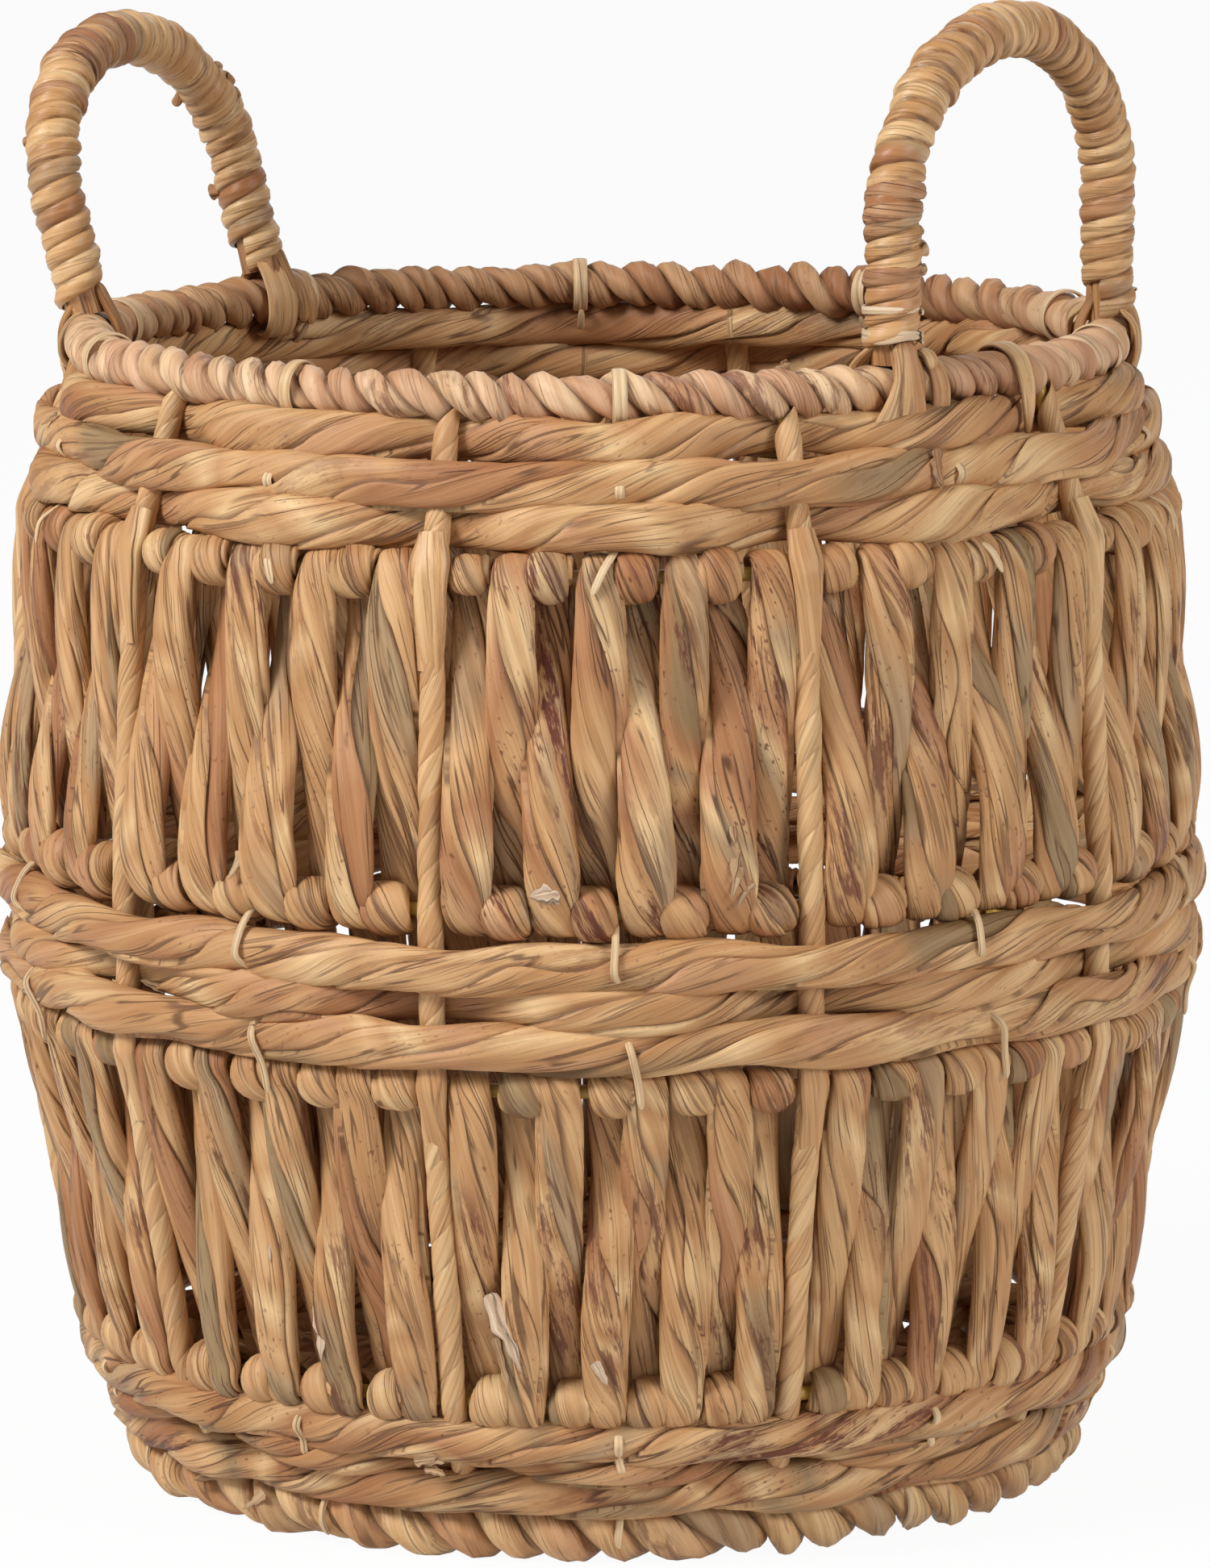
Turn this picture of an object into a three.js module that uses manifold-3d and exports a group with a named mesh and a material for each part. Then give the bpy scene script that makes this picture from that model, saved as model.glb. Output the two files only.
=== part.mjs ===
// Round planter basket: a welded wire frame dressed in twisted water-hyacinth leaf.
// Millimetres, +Z up. Origin on the floor under the middle, the two handles at +X and -X.
import * as THREE from 'three';
import Module from 'manifold-3d';

const wasm = await Module();
wasm.setup();

// Fits
const CLEARANCE = 0.3; // between pieces that lie against each other
const WELD = 0.4; // how far two welded wires sink into each other
const STRAND_SPACE = 0.6; // between neighbouring strands

// Wire frame
const WIRE_R = 1.7;
const WIRE_SIDES = 5;
const FLOOR_WIRES = 2;
const BAYS = 10; // uprights, and bays between them
const FIRST_UPRIGHT = 27; // degrees from +X
const RING_STEPS = 4 * BAYS; // straight steps round every ring
const BOTTOM_BAND = 38; // heights from ring to ring, starting at the base ring
const LOWER_PANEL = 86.5;
const MIDDLE_BAND = 47.3;
const UPPER_PANEL = 86.8;
const TOP_BAND = 44.9;

// Leaf wraps
const RIM_WRAP_R = 6.5;
const BASE_WRAP_R = 8.5;
const BASE_CUT = 0.5; // depth of the flat that the basket stands on
const UPRIGHT_WRAP_R = 4.0;
const UPRIGHT_ARM = 1.0; // how far the upright's wrap reaches inwards past the wire's middle

// Rope rows of the three bands
const ROPE_T = 5.2; // half thickness between crossings
const ROPE_SWING = 2; // outwards between the uprights, of a row that passes behind them
const ROPE_FLAT_T = 2.5; // half thickness where the rope is squeezed past an upright

// Panel strands
const SIDES = 5; // of every rope and strand
const RUNS = 8; // strands in a bay
const LOOP_R = 5.8; // from a ring's wire to the middle of the strand in front or behind
const TURN_R = 6.4; // and to its middle where it turns over or under the wire
const LOOP_T = 2.6; // half thickness round a ring
const KNOB_W = 8; // half width at the turn
const MID_T = 4.3; // half thickness in the middle of a run
const BULGE = 4; // how far the runs belly out
const BELLY = 0.36; // where they do, as a share of the panel's height

// Handles
const HANDLE_CORE_R = 5;
const HANDLE_WRAP_R = 7.2;
const HANDLE_STRIP_T = 0.9; // half thickness of the wound strip
const HANDLE_STRIP_GAP = 1.2; // between neighbouring turns of the strip
const HANDLE_LOOPS = 18;
const LEFT_RISE = 78; // from the rim wire to the top of the hoop
const LEFT_LEG = 38; // and to where the legs begin to bend
const RIGHT_RISE = 88.5;
const RIGHT_LEG = 42;
// Feet stand in the middle of ring steps, counted from the first upright. Lean is in degrees.
const LEFT_HANDLE = { feet: [14.5, 19.5], rise: LEFT_RISE, leg: LEFT_LEG, lean: 14 };
const RIGHT_HANDLE = { feet: [-6.5, -0.5], rise: RIGHT_RISE, leg: RIGHT_LEG, lean: 0 };
const STRAP_T = 2.2; // thickness of a handle foot's strap
const STRAP_W = 15;
const STRAP_MIDDLE = 90; // degrees from outwards: the strap is centred on the top of the rim wrap
const STRAP_REACH = 122; // degrees down each side of the rim wrap
const STRAP_IN = RIM_WRAP_R + CLEARANCE; // from the rim wire to the strap

// Floor
const FLOOR_T = 4;
const FLOOR_EDGE = { in: 1.5, down: 1 }; // bevel round the mat's upper edge

// Rings of the frame, each standing on the height below it
const BASE = { r: 124, z: BASE_WRAP_R - BASE_CUT };
const PANEL_BOTTOM = { r: 139.5, z: BASE.z + BOTTOM_BAND };
const WAIST_BOTTOM = { r: 155, z: PANEL_BOTTOM.z + LOWER_PANEL };
const WAIST_TOP = { r: 156.5, z: WAIST_BOTTOM.z + MIDDLE_BAND };
const PANEL_TOP = { r: 151.5, z: WAIST_TOP.z + UPPER_PANEL };
const RIM = { r: 139, z: PANEL_TOP.z + TOP_BAND };

const RAD = Math.PI / 180;
const BAY = 360 / BAYS;

// Materials from the photograph
const leaf = (color) => new THREE.MeshStandardMaterial({ color, roughness: 0.75, metalness: 0 });
const COLOURS = {
  wire: '#b9922f',
  row: '#b98d5c',
  strand: '#b78c5a',
  wrap: '#c29766',
  rim: '#b88a62',
  handle: '#bd9160',
  core: '#a98a5c',
};

const part = new THREE.Group();

function addPiece(name, geometry, material) {
  const piece = new THREE.Mesh(geometry, material);
  piece.name = name;
  part.add(piece);
  return piece;
}

// Directions and places round the basket's axis; angle in degrees
const outward = (angle) => new THREE.Vector3(Math.cos(angle * RAD), Math.sin(angle * RAD), 0);
const along = (angle) => new THREE.Vector3(-Math.sin(angle * RAD), Math.cos(angle * RAD), 0);
const UP = new THREE.Vector3(0, 0, 1);
const place = (angle, r, z) => outward(angle).multiplyScalar(r).add(new THREE.Vector3(0, 0, z));

// Radius at an angle of a ring made of straight steps
function ringRadius(r, angle) {
  const step = 360 / RING_STEPS;
  const off = ((angle % step) + step) % step - step / 2;
  return r * Math.cos(step / 2 * RAD) / Math.cos(off * RAD);
}

// A closed skin over a line of sections, each a list of the same number of points
function skin(sections, closed) {
  const sides = sections[0].length;
  const positions = sections.flat().flatMap((p) => [p.x, p.y, p.z]);
  const index = [];
  const spans = closed ? sections.length : sections.length - 1;
  for (let i = 0; i < spans; i++) {
    const here = i * sides;
    const next = ((i + 1) % sections.length) * sides;
    for (let j = 0; j < sides; j++) {
      const k = (j + 1) % sides;
      index.push(here + j, here + k, next + k);
      index.push(here + j, next + k, next + j);
    }
  }
  if (!closed) {
    const last = (sections.length - 1) * sides;
    for (const [a, b, c] of capTriangles(sections[0])) {
      index.push(a, c, b);
      index.push(last + a, last + b, last + c);
    }
  }
  const geometry = new THREE.BufferGeometry();
  geometry.setAttribute('position', new THREE.Float32BufferAttribute(positions, 3));
  geometry.setIndex(faceOutwards(positions, index));
  geometry.computeVertexNormals();
  return geometry;
}

// Turns the triangles of a closed skin over where they enclose a negative volume
function faceOutwards(positions, index) {
  const corner = (i) => new THREE.Vector3().fromArray(positions, 3 * i);
  let volume = 0;
  for (let i = 0; i < index.length; i += 3) {
    volume += corner(index[i]).dot(corner(index[i + 1]).cross(corner(index[i + 2])));
  }
  return volume < 0 ? index.reverse() : index;
}

// Triangles that close a flat end, also where the outline is hollow on one side
function capTriangles(points) {
  const u = points[1].clone().sub(points[0]).normalize();
  const normal = new THREE.Vector3();
  points.forEach((p, i) => normal.add(p.clone().cross(points[(i + 1) % points.length])));
  const v = normal.normalize().cross(u);
  const flat = points.map((p) => new THREE.Vector2(p.dot(u), p.dot(v)));
  return THREE.ShapeUtils.triangulateShape(flat, []);
}

// Points of an oval section with half sizes a along u and b along v
function oval(centre, u, v, a, b, sides, turn = 0) {
  return Array.from({ length: sides }, (_, i) => {
    const t = turn + 2 * Math.PI * i / sides;
    return centre.clone().addScaledVector(u, a * Math.cos(t)).addScaledVector(v, b * Math.sin(t));
  });
}

// A round bar through points, mitred at each; a closed one joins its ends
function bar(points, radius, sides, closed = false, turn = Math.PI / sides) {
  const count = points.length;
  const sections = points.map((p, i) => {
    const before = closed ? points[(i + count - 1) % count] : points[Math.max(i - 1, 0)];
    const after = closed ? points[(i + 1) % count] : points[Math.min(i + 1, count - 1)];
    const d = after.clone().sub(before).normalize();
    const hint = Math.abs(d.z) > 0.9 ? outward(Math.atan2(p.y, p.x) / RAD) : UP;
    const u = new THREE.Vector3().crossVectors(hint, d).normalize();
    return oval(p, u, d.clone().cross(u), radius, radius, sides, turn);
  });
  return skin(sections, closed);
}

// Solids for joining
function solid(geometry) {
  const vertProperties = new Float32Array(geometry.getAttribute('position').array);
  const triVerts = new Uint32Array(geometry.getIndex().array);
  return new wasm.Manifold(new wasm.Mesh({ numProp: 3, vertProperties, triVerts }));
}

function geometryOf(body) {
  const mesh = body.getMesh();
  const geometry = new THREE.BufferGeometry();
  geometry.setAttribute('position', new THREE.Float32BufferAttribute(mesh.vertProperties, 3));
  geometry.setIndex(Array.from(mesh.triVerts));
  geometry.computeVertexNormals();
  return geometry;
}

// Wire frame: six rings, the uprights welded to them and two floor wires across the base ring
const RINGS = [RIM, PANEL_TOP, WAIST_TOP, WAIST_BOTTOM, PANEL_BOTTOM, BASE];
const WELD_OFFSET = 2 * WIRE_R - WELD;
const UPRIGHT_LINE = RINGS.map((ring, i) => {
  const atEnd = i === 0 || i === RINGS.length - 1;
  return { r: ring.r + (atEnd ? 0 : WELD_OFFSET), z: ring.z };
});

// Radius of the uprights' middle line at a height, and how much it widens per unit of height
function uprightAt(z) {
  const i = UPRIGHT_LINE.findIndex((p, k) => k > 0 && z >= p.z);
  const low = UPRIGHT_LINE[i];
  const high = UPRIGHT_LINE[i - 1];
  const slope = (high.r - low.r) / (high.z - low.z);
  return { r: low.r + slope * (z - low.z), slope };
}

const uprightAngle = (i) => FIRST_UPRIGHT + i * BAY;

function ringPoints(r, z) {
  return Array.from({ length: RING_STEPS }, (_, i) => place(FIRST_UPRIGHT + i * 360 / RING_STEPS, r, z));
}

function wireFrame() {
  const wires = RINGS.map((ring) => bar(ringPoints(ring.r, ring.z), WIRE_R, WIRE_SIDES, true));
  for (let i = 0; i < BAYS; i++) {
    const line = UPRIGHT_LINE.map((p) => place(uprightAngle(i), p.r, p.z));
    wires.push(bar(line, WIRE_R, 4, false, 0));
  }
  for (let i = 0; i < FLOOR_WIRES; i++) {
    const angle = FIRST_UPRIGHT + BAY / 4 + i * 180 / FLOOR_WIRES;
    const reach = ringRadius(BASE.r, angle);
    wires.push(bar([place(angle, reach, BASE.z), place(angle, -reach, BASE.z)], WIRE_R, WIRE_SIDES));
  }
  return geometryOf(wasm.Manifold.union(wires.map(solid)));
}

const SLOT = WIRE_R + CLEARANCE; // half width of every slot and channel round a wire
const turned = ([x, y], t) => [x * Math.cos(t) - y * Math.sin(t), x * Math.sin(t) + y * Math.cos(t)];

// Points on an arc about the origin
function arc(radius, from, to, steps) {
  return Array.from({ length: steps + 1 }, (_, i) => turned([radius, 0], from + (to - from) * i / steps));
}

// Direction from an end ring towards the next point of the uprights
function slantFrom(ring, next) {
  return Math.atan2(next.z - ring.z, next.r - ring.r);
}

// A wrap round a ring. The outline is drawn about the wire, x outwards and y up.
function ringWrap(ring, outline) {
  const sections = Array.from({ length: RING_STEPS }, (_, i) => {
    const angle = FIRST_UPRIGHT + i * 360 / RING_STEPS;
    return outline.map(([x, y]) => place(angle, ring.r + x, ring.z + y));
  });
  return skin(sections, true);
}

// Rim wrap: its slot faces down along the uprights
function rimWrapOutline() {
  const half = Math.asin(SLOT / RIM_WRAP_R);
  const outline = [...arc(RIM_WRAP_R, half, 2 * Math.PI - half, 8), [-SLOT, -SLOT], [-SLOT, SLOT]];
  return outline.map((p) => turned(p, slantFrom(RIM, UPRIGHT_LINE[1])));
}

// Base wrap: flat underneath, open on top and inwards where uprights and floor wires come in
const BASE_SLANT = slantFrom(BASE, UPRIGHT_LINE[RINGS.length - 2]);
const BASE_EDGE = BASE_SLANT - Math.asin(SLOT / BASE_WRAP_R);

function baseWrapOutline() {
  const down = -Math.PI / 2;
  const flat = Math.acos(BASE.z / BASE_WRAP_R);
  const inwards = Math.asin(SLOT / BASE_WRAP_R) - Math.PI;
  const corner = turned([SLOT / Math.cos(BASE_SLANT / 2), 0], (BASE_SLANT - Math.PI) / 2);
  return [
    ...arc(BASE_WRAP_R, inwards, down - flat, 2),
    ...arc(BASE_WRAP_R, down + flat, BASE_EDGE, 4),
    corner,
  ];
}

// Rope rows. Each goes behind the uprights or in front of them, flatter where it passes.
function rope(z, half, inFront) {
  const upright = uprightAt(z);
  const squeezed = CLEARANCE + ROPE_FLAT_T + Math.abs(upright.slope) * half / 2;
  const behind = -(WIRE_R + squeezed);
  const before = UPRIGHT_WRAP_R + squeezed;
  const atUpright = inFront ? before : behind;
  const atMid = inFront ? 0 : ROPE_SWING;
  const sections = Array.from({ length: RING_STEPS }, (_, i) => {
    const angle = FIRST_UPRIGHT + i * 360 / RING_STEPS;
    const near = (1 + Math.cos(BAYS * (angle - FIRST_UPRIGHT) * RAD)) / 2;
    const r = upright.r + atMid + (atUpright - atMid) * near;
    const thick = ROPE_T + (ROPE_FLAT_T - ROPE_T) * near;
    return oval(place(angle, r, z), outward(angle), UP, thick, half / Math.sin(72 * RAD), SIDES);
  });
  return skin(sections, true);
}

// Rows share the height between what lies above and below them
function addBand(name, top, bottom, frontPattern) {
  const pitch = (top - bottom - CLEARANCE) / frontPattern.length;
  frontPattern.forEach((inFront, i) => {
    const z = top - CLEARANCE / 2 - (i + 0.5) * pitch;
    const geometry = rope(z, (pitch - CLEARANCE) / 2, inFront);
    addPiece(`${name}_row_${i + 1}`, geometry, leaf(COLOURS.row));
  });
}

// Upright wrap: a half-round sleeve over the outer side of an upright
function uprightWrap(angle) {
  const ends = [RIM.z - RIM_WRAP_R - 1.5 * CLEARANCE, BASE.z + BASE_WRAP_R + CLEARANCE];
  const line = [
    { z: ends[0], r: uprightAt(ends[0]).r },
    ...UPRIGHT_LINE.slice(1, -1),
    { z: ends[1], r: uprightAt(ends[1]).r },
  ];
  const reach = Math.acos(-UPRIGHT_ARM / UPRIGHT_WRAP_R);
  const channel = [[-UPRIGHT_ARM, SLOT], [SLOT, SLOT], [SLOT, -SLOT], [-UPRIGHT_ARM, -SLOT]];
  const outline = [...arc(UPRIGHT_WRAP_R, -reach, reach, 4), ...channel];
  const sections = line.map((p) => outline.map(([x, y]) => (
    place(angle, p.r + x, p.z).addScaledVector(along(angle), y)
  )));
  return skin(sections.reverse(), false);
}

// Panel winding: one strand that runs up and down a bay, round the ring above and below.
// It starts in front of the ring above and behind the ring below, or the other way round.
function windingStations(top, bottom, firstAngle, startInFront) {
  const guard = (UPRIGHT_WRAP_R + STRAND_SPACE) / Math.min(top.r, bottom.r) / RAD;
  const pitch = (BAY - 2 * guard) / RUNS;
  const widest = (r) => (pitch * RAD * r - STRAND_SPACE) / 2;
  const at = (k) => firstAngle + guard + (k + 0.5) * pitch;
  const depth = (inFront) => (inFront ? LOOP_R : -LOOP_R);
  const stations = [];
  for (let k = 0; k < RUNS; k++) {
    const down = k % 2 === 0;
    const from = down ? top : bottom;
    const to = down ? bottom : top;
    const frontAtTop = startInFront === (k % 2 === 0);
    const fromSide = depth(down ? frontAtTop : !frontAtTop);
    const toSide = depth(down ? !frontAtTop : frontAtTop);
    const angle = at(k);
    const share = down ? 1 - BELLY : BELLY;
    const z = from.z + (to.z - from.z) * share;
    const r = from.r + (to.r - from.r) * share + BULGE;
    const heading = down ? -1 : 1;
    const start = ringRadius(from.r, angle) + fromSide;
    const end = ringRadius(to.r, angle) + toSide;
    stations.push({ angle, r: start, z: from.z, a: widest(from.r), b: LOOP_T });
    stations.push({ angle, r, z, a: widest(r), b: MID_T });
    stations.push({ angle, r: end, z: to.z, a: widest(to.r), b: LOOP_T });
    if (k < RUNS - 1) {
      const turn = angle + pitch / 2;
      const height = to.z + heading * TURN_R;
      stations.push({ angle: turn, r: ringRadius(to.r, turn), z: height, a: KNOB_W, b: LOOP_T });
    }
  }
  return stations;
}

function winding(top, bottom, firstAngle, startInFront) {
  const stations = windingStations(top, bottom, firstAngle, startInFront);
  const flat = stations.map((s) => new THREE.Vector2(s.r, s.z));
  const sections = stations.map((s, i) => {
    const before = flat[Math.max(i - 1, 0)];
    const after = flat[Math.min(i + 1, flat.length - 1)];
    const into = flat[i].clone().sub(before).normalize();
    const out = after.clone().sub(flat[i]).normalize();
    const heading = into.clone().add(out).normalize();
    const mitre = i === 0 || i === flat.length - 1 ? 1 : 1 / Math.max(heading.dot(into), 0.6);
    const radial = outward(s.angle);
    const v = radial.multiplyScalar(heading.y).addScaledVector(UP, -heading.x);
    const wide = s.a / Math.cos(18 * RAD);
    return oval(place(s.angle, s.r, s.z), v, along(s.angle), s.b * mitre, wide, SIDES);
  });
  return skin(sections, false);
}

// Handles
const footAngle = (steps) => FIRST_UPRIGHT + steps * 360 / RING_STEPS;

function handleLine({ feet, rise, leg, lean }) {
  const [first, last] = feet.map(footAngle).map((angle) => place(angle, ringRadius(RIM.r, angle), RIM.z));
  const middle = first.clone().add(last).multiplyScalar(0.5);
  const across = last.clone().sub(first).normalize();
  const away = across.clone().cross(UP);
  const half = first.distanceTo(last) / 2;
  const foot = STRAP_IN + STRAP_T + CLEARANCE;
  const at = (y, h) => middle.clone().addScaledVector(across, y)
    .addScaledVector(away, Math.tan(lean * RAD) * h).addScaledVector(UP, h);
  const steps = 12;
  const arch = Array.from({ length: steps + 1 }, (_, i) => {
    const t = Math.PI * i / steps;
    return at(-half * Math.cos(t), leg + (rise - leg) * Math.sin(t));
  });
  return [at(-half, foot), ...arch, at(half, foot)];
}

// Even walk along a handle: place, direction and the direction across the hoop's plane
function walkHandle(points, steps) {
  const curve = new THREE.CatmullRomCurve3(points, false, 'centripetal');
  curve.arcLengthDivisions = 400;
  const length = curve.getLength();
  const across = new THREE.Vector3().subVectors(points[points.length - 1], points[0]).normalize();
  const rise = points[Math.floor(points.length / 2)].clone().sub(points[0]);
  const normal = across.clone().cross(rise).normalize();
  const samples = Array.from({ length: steps + 1 }, (_, i) => {
    const p = curve.getPointAt(i / steps);
    const t = curve.getTangentAt(i / steps);
    return { p, t, normal };
  });
  return { samples, length };
}

function handleCore(spec) {
  const { samples } = walkHandle(handleLine(spec), 20);
  const sections = samples.map(({ p, t, normal }) => (
    oval(p, normal, t.clone().cross(normal), HANDLE_CORE_R, HANDLE_CORE_R, 6)
  ));
  return skin(sections, false);
}

function handleWrap(spec) {
  const perLoop = 6;
  const steps = HANDLE_LOOPS * perLoop;
  const { samples, length } = walkHandle(handleLine(spec), steps + 2 * perLoop);
  const pitch = length / (HANDLE_LOOPS + 2);
  const ds = length / (steps + 2 * perLoop);
  const sections = [];
  for (let i = perLoop; i <= steps + perLoop; i++) {
    const { p, t, normal } = samples[i];
    const outer = t.clone().cross(normal).normalize();
    const phi = 2 * Math.PI * i / perLoop;
    const radial = normal.clone().multiplyScalar(Math.cos(phi)).addScaledVector(outer, Math.sin(phi));
    const bend = samples[i + 1].t.clone().sub(samples[i - 1].t).multiplyScalar(1 / (2 * ds));
    const bent = bend.dot(radial);
    const face = HANDLE_WRAP_R + Math.sign(bent) * HANDLE_STRIP_T;
    const half = (pitch * (1 - face * bent) - HANDLE_STRIP_GAP) / 2;
    const centre = p.clone().addScaledVector(radial, HANDLE_WRAP_R);
    const corners = [[-1, -1], [1, -1], [1, 1], [-1, 1]];
    sections.push(corners.map(([x, y]) => (
      centre.clone().addScaledVector(t, x * half).addScaledVector(radial, y * HANDLE_STRIP_T)
    )));
  }
  return skin(sections, false);
}

// Strap at a handle's foot, bent over the rim wrap
function footStrap(angle) {
  const outer = STRAP_IN + STRAP_T;
  const steps = 8;
  const sections = Array.from({ length: steps + 1 }, (_, i) => {
    const t = (STRAP_MIDDLE - STRAP_REACH + 2 * STRAP_REACH * i / steps) * RAD;
    return [[STRAP_IN, -1], [outer, -1], [outer, 1], [STRAP_IN, 1]].map(([d, y]) => {
      const centre = place(angle, ringRadius(RIM.r, angle) + d * Math.cos(t), RIM.z + d * Math.sin(t));
      return centre.addScaledVector(along(angle), y * STRAP_W / 2);
    });
  });
  return skin(sections, false);
}

// Floor mat on the floor wires, inside the base ring
function floorMat() {
  const low = BASE.z + SLOT;
  const r = BASE.r - WIRE_R - WELD;
  const rim = (radius, z) => Array.from({ length: RING_STEPS }, (_, i) => (
    place(FIRST_UPRIGHT + i * 360 / RING_STEPS, radius, z)
  ));
  const top = low + FLOOR_T;
  return skin([rim(r, low), rim(r, top - FLOOR_EDGE.down), rim(r - FLOOR_EDGE.in, top)], false);
}

// Least gap between stretches of one tube that aren't neighbours, measured on its points
function leastGap(geometry, sides, apart) {
  const p = geometry.getAttribute('position');
  let least = Infinity;
  for (let i = 0; i < p.count; i++) {
    for (let j = i + apart * sides; j < p.count; j++) {
      const d = Math.hypot(p.getX(i) - p.getX(j), p.getY(i) - p.getY(j), p.getZ(i) - p.getZ(j));
      least = Math.min(least, d);
    }
  }
  return least;
}

// Assembly
addPiece('wire_frame', wireFrame(), new THREE.MeshStandardMaterial({
  color: COLOURS.wire, roughness: 0.45, metalness: 0.2,
}));
addPiece('floor_mat', floorMat(), leaf(COLOURS.row));
addPiece('rim_wrap', ringWrap(RIM, rimWrapOutline()), leaf(COLOURS.rim));
addPiece('base_wrap', ringWrap(BASE, baseWrapOutline()), leaf(COLOURS.wrap));

// Bands fill the height between the turns of the strands and the wraps of the end rings
const KNOB_REACH = TURN_R + LOOP_T * Math.hypot(LOOP_R, TURN_R) / LOOP_R;
const BASE_WRAP_TOP = BASE.z + BASE_WRAP_R * Math.sin(BASE_EDGE);
addBand('top_band', RIM.z - RIM_WRAP_R, PANEL_TOP.z + KNOB_REACH, [false, true, false]);
addBand('middle_band', WAIST_TOP.z - KNOB_REACH, WAIST_BOTTOM.z + KNOB_REACH, [true, false, true]);
addBand('bottom_band', PANEL_BOTTOM.z - KNOB_REACH, BASE_WRAP_TOP, [true, false, true]);

for (let i = 0; i < BAYS; i++) {
  const number = String(i + 1).padStart(2, '0');
  const angle = uprightAngle(i);
  addPiece(`upright_wrap_${number}`, uprightWrap(angle), leaf(COLOURS.wrap));
  const upper = winding(PANEL_TOP, WAIST_TOP, angle, false);
  const lower = winding(WAIST_BOTTOM, PANEL_BOTTOM, angle, true);
  addPiece(`upper_winding_${number}`, upper, leaf(COLOURS.strand));
  addPiece(`lower_winding_${number}`, lower, leaf(COLOURS.strand));
  if (i === 0) {
    console.log('least gap, upper winding', leastGap(upper, SIDES, 4).toFixed(2), 'mm');
    console.log('least gap, lower winding', leastGap(lower, SIDES, 4).toFixed(2), 'mm');
  }
}

for (const [name, spec] of [['left', LEFT_HANDLE], ['right', RIGHT_HANDLE]]) {
  addPiece(`${name}_handle_core`, handleCore(spec), leaf(COLOURS.core));
  const wrap = handleWrap(spec);
  addPiece(`${name}_handle_wrap`, wrap, leaf(COLOURS.handle));
  console.log(`least gap, ${name} handle wrap`, leastGap(wrap, 4, 6).toFixed(2), 'mm');
  spec.feet.forEach((steps, i) => {
    addPiece(`${name}_foot_strap_${i + 1}`, footStrap(footAngle(steps)), leaf(COLOURS.handle));
  });
}

export default part;
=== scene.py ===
# %% [markdown]
# # A round planter basket of twisted leaf
# The basket is a welded wire frame that is dressed in dried leaf. Rope of twisted leaf is woven in
# three bands, flat strands zigzag between the rings, and leaf strip is wound round every wire
# that still shows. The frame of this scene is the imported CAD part, and every soft solid in it is
# replaced here by its leafwork.

# %% Frame
import math

import bpy
import numpy as np
from mathutils import Euler, Matrix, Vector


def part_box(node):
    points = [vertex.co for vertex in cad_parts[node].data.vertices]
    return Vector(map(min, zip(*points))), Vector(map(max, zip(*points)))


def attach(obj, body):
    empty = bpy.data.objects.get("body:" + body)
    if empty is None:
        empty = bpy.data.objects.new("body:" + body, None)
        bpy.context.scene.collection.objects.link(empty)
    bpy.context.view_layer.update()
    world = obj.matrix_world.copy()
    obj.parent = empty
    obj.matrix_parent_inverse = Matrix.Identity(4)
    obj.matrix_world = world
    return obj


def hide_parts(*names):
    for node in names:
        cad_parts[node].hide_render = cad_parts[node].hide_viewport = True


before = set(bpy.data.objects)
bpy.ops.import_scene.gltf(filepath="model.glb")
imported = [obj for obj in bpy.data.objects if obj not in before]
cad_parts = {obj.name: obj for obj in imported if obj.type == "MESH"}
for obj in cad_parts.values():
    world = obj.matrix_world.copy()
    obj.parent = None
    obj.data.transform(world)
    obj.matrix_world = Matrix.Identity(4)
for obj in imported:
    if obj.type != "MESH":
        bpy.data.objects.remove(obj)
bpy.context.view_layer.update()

# %% [markdown]
# ## Sizes
# The rings of the wire frame carry everything, so the whole basket follows from their radii and
# heights. They are those of the CAD part, in metres. Angles run anticlockwise from +X, where the
# right handle stands.

# %% Rings and bays
MM = 0.001
DEG = math.pi / 180
BAYS = 10
BAY = 2 * math.pi / BAYS
FIRST_UPRIGHT = 27 * DEG
FOOT_STEP = 9 * DEG
RIM = (139 * MM, 311.5 * MM)
PANEL_TOP = (151.5 * MM, 266.6 * MM)
WAIST_TOP = (156.5 * MM, 179.8 * MM)
WAIST_BOTTOM = (155 * MM, 132.5 * MM)
PANEL_BOTTOM = (139.5 * MM, 46 * MM)
BASE = (124 * MM, 8 * MM)
RINGS = (RIM, PANEL_TOP, WAIST_TOP, WAIST_BOTTOM, PANEL_BOTTOM, BASE)
WIRE_R = 1.9 * MM
UP = np.array([0.0, 0.0, 1.0])


def outward(angle):
    return np.stack([np.cos(angle), np.sin(angle), 0 * angle], axis=-1)


def around(angle):
    return np.stack([-np.sin(angle), np.cos(angle), 0 * angle], axis=-1)


def place(angle, r, z):
    angle, r, z = np.broadcast_arrays(*(np.asarray(v, float) for v in (angle, r, z)))
    return outward(angle) * r[..., None] + UP * z[..., None]


def unit(vectors):
    return vectors / np.maximum(np.linalg.norm(vectors, axis=-1, keepdims=True), 1e-12)


def smooth(x):
    x = np.clip(x, 0, 1)
    return x * x * (3 - 2 * x)


def waves(x, cycles, rng, terms=5):
    """A smooth random line through x, which runs from 0 to 1 and closes there."""
    total = 0
    for _ in range(terms):
        count = max(1, round(cycles * rng.uniform(0.4, 1.6)))
        total = total + np.sin(2 * np.pi * (count * x + rng.uniform()))
    return total / terms ** 0.5 / 1.4


def run_along(points):
    """Distance along a line of points, from the first to each one."""
    steps = np.linalg.norm(np.diff(points, axis=0), axis=-1)
    return np.concatenate([[0], np.cumsum(steps)])


def between(t, known, points):
    """The places at t on a line that passes the points at the known values."""
    return np.stack([np.interp(t, known, column) for column in points.T], axis=-1)


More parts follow.
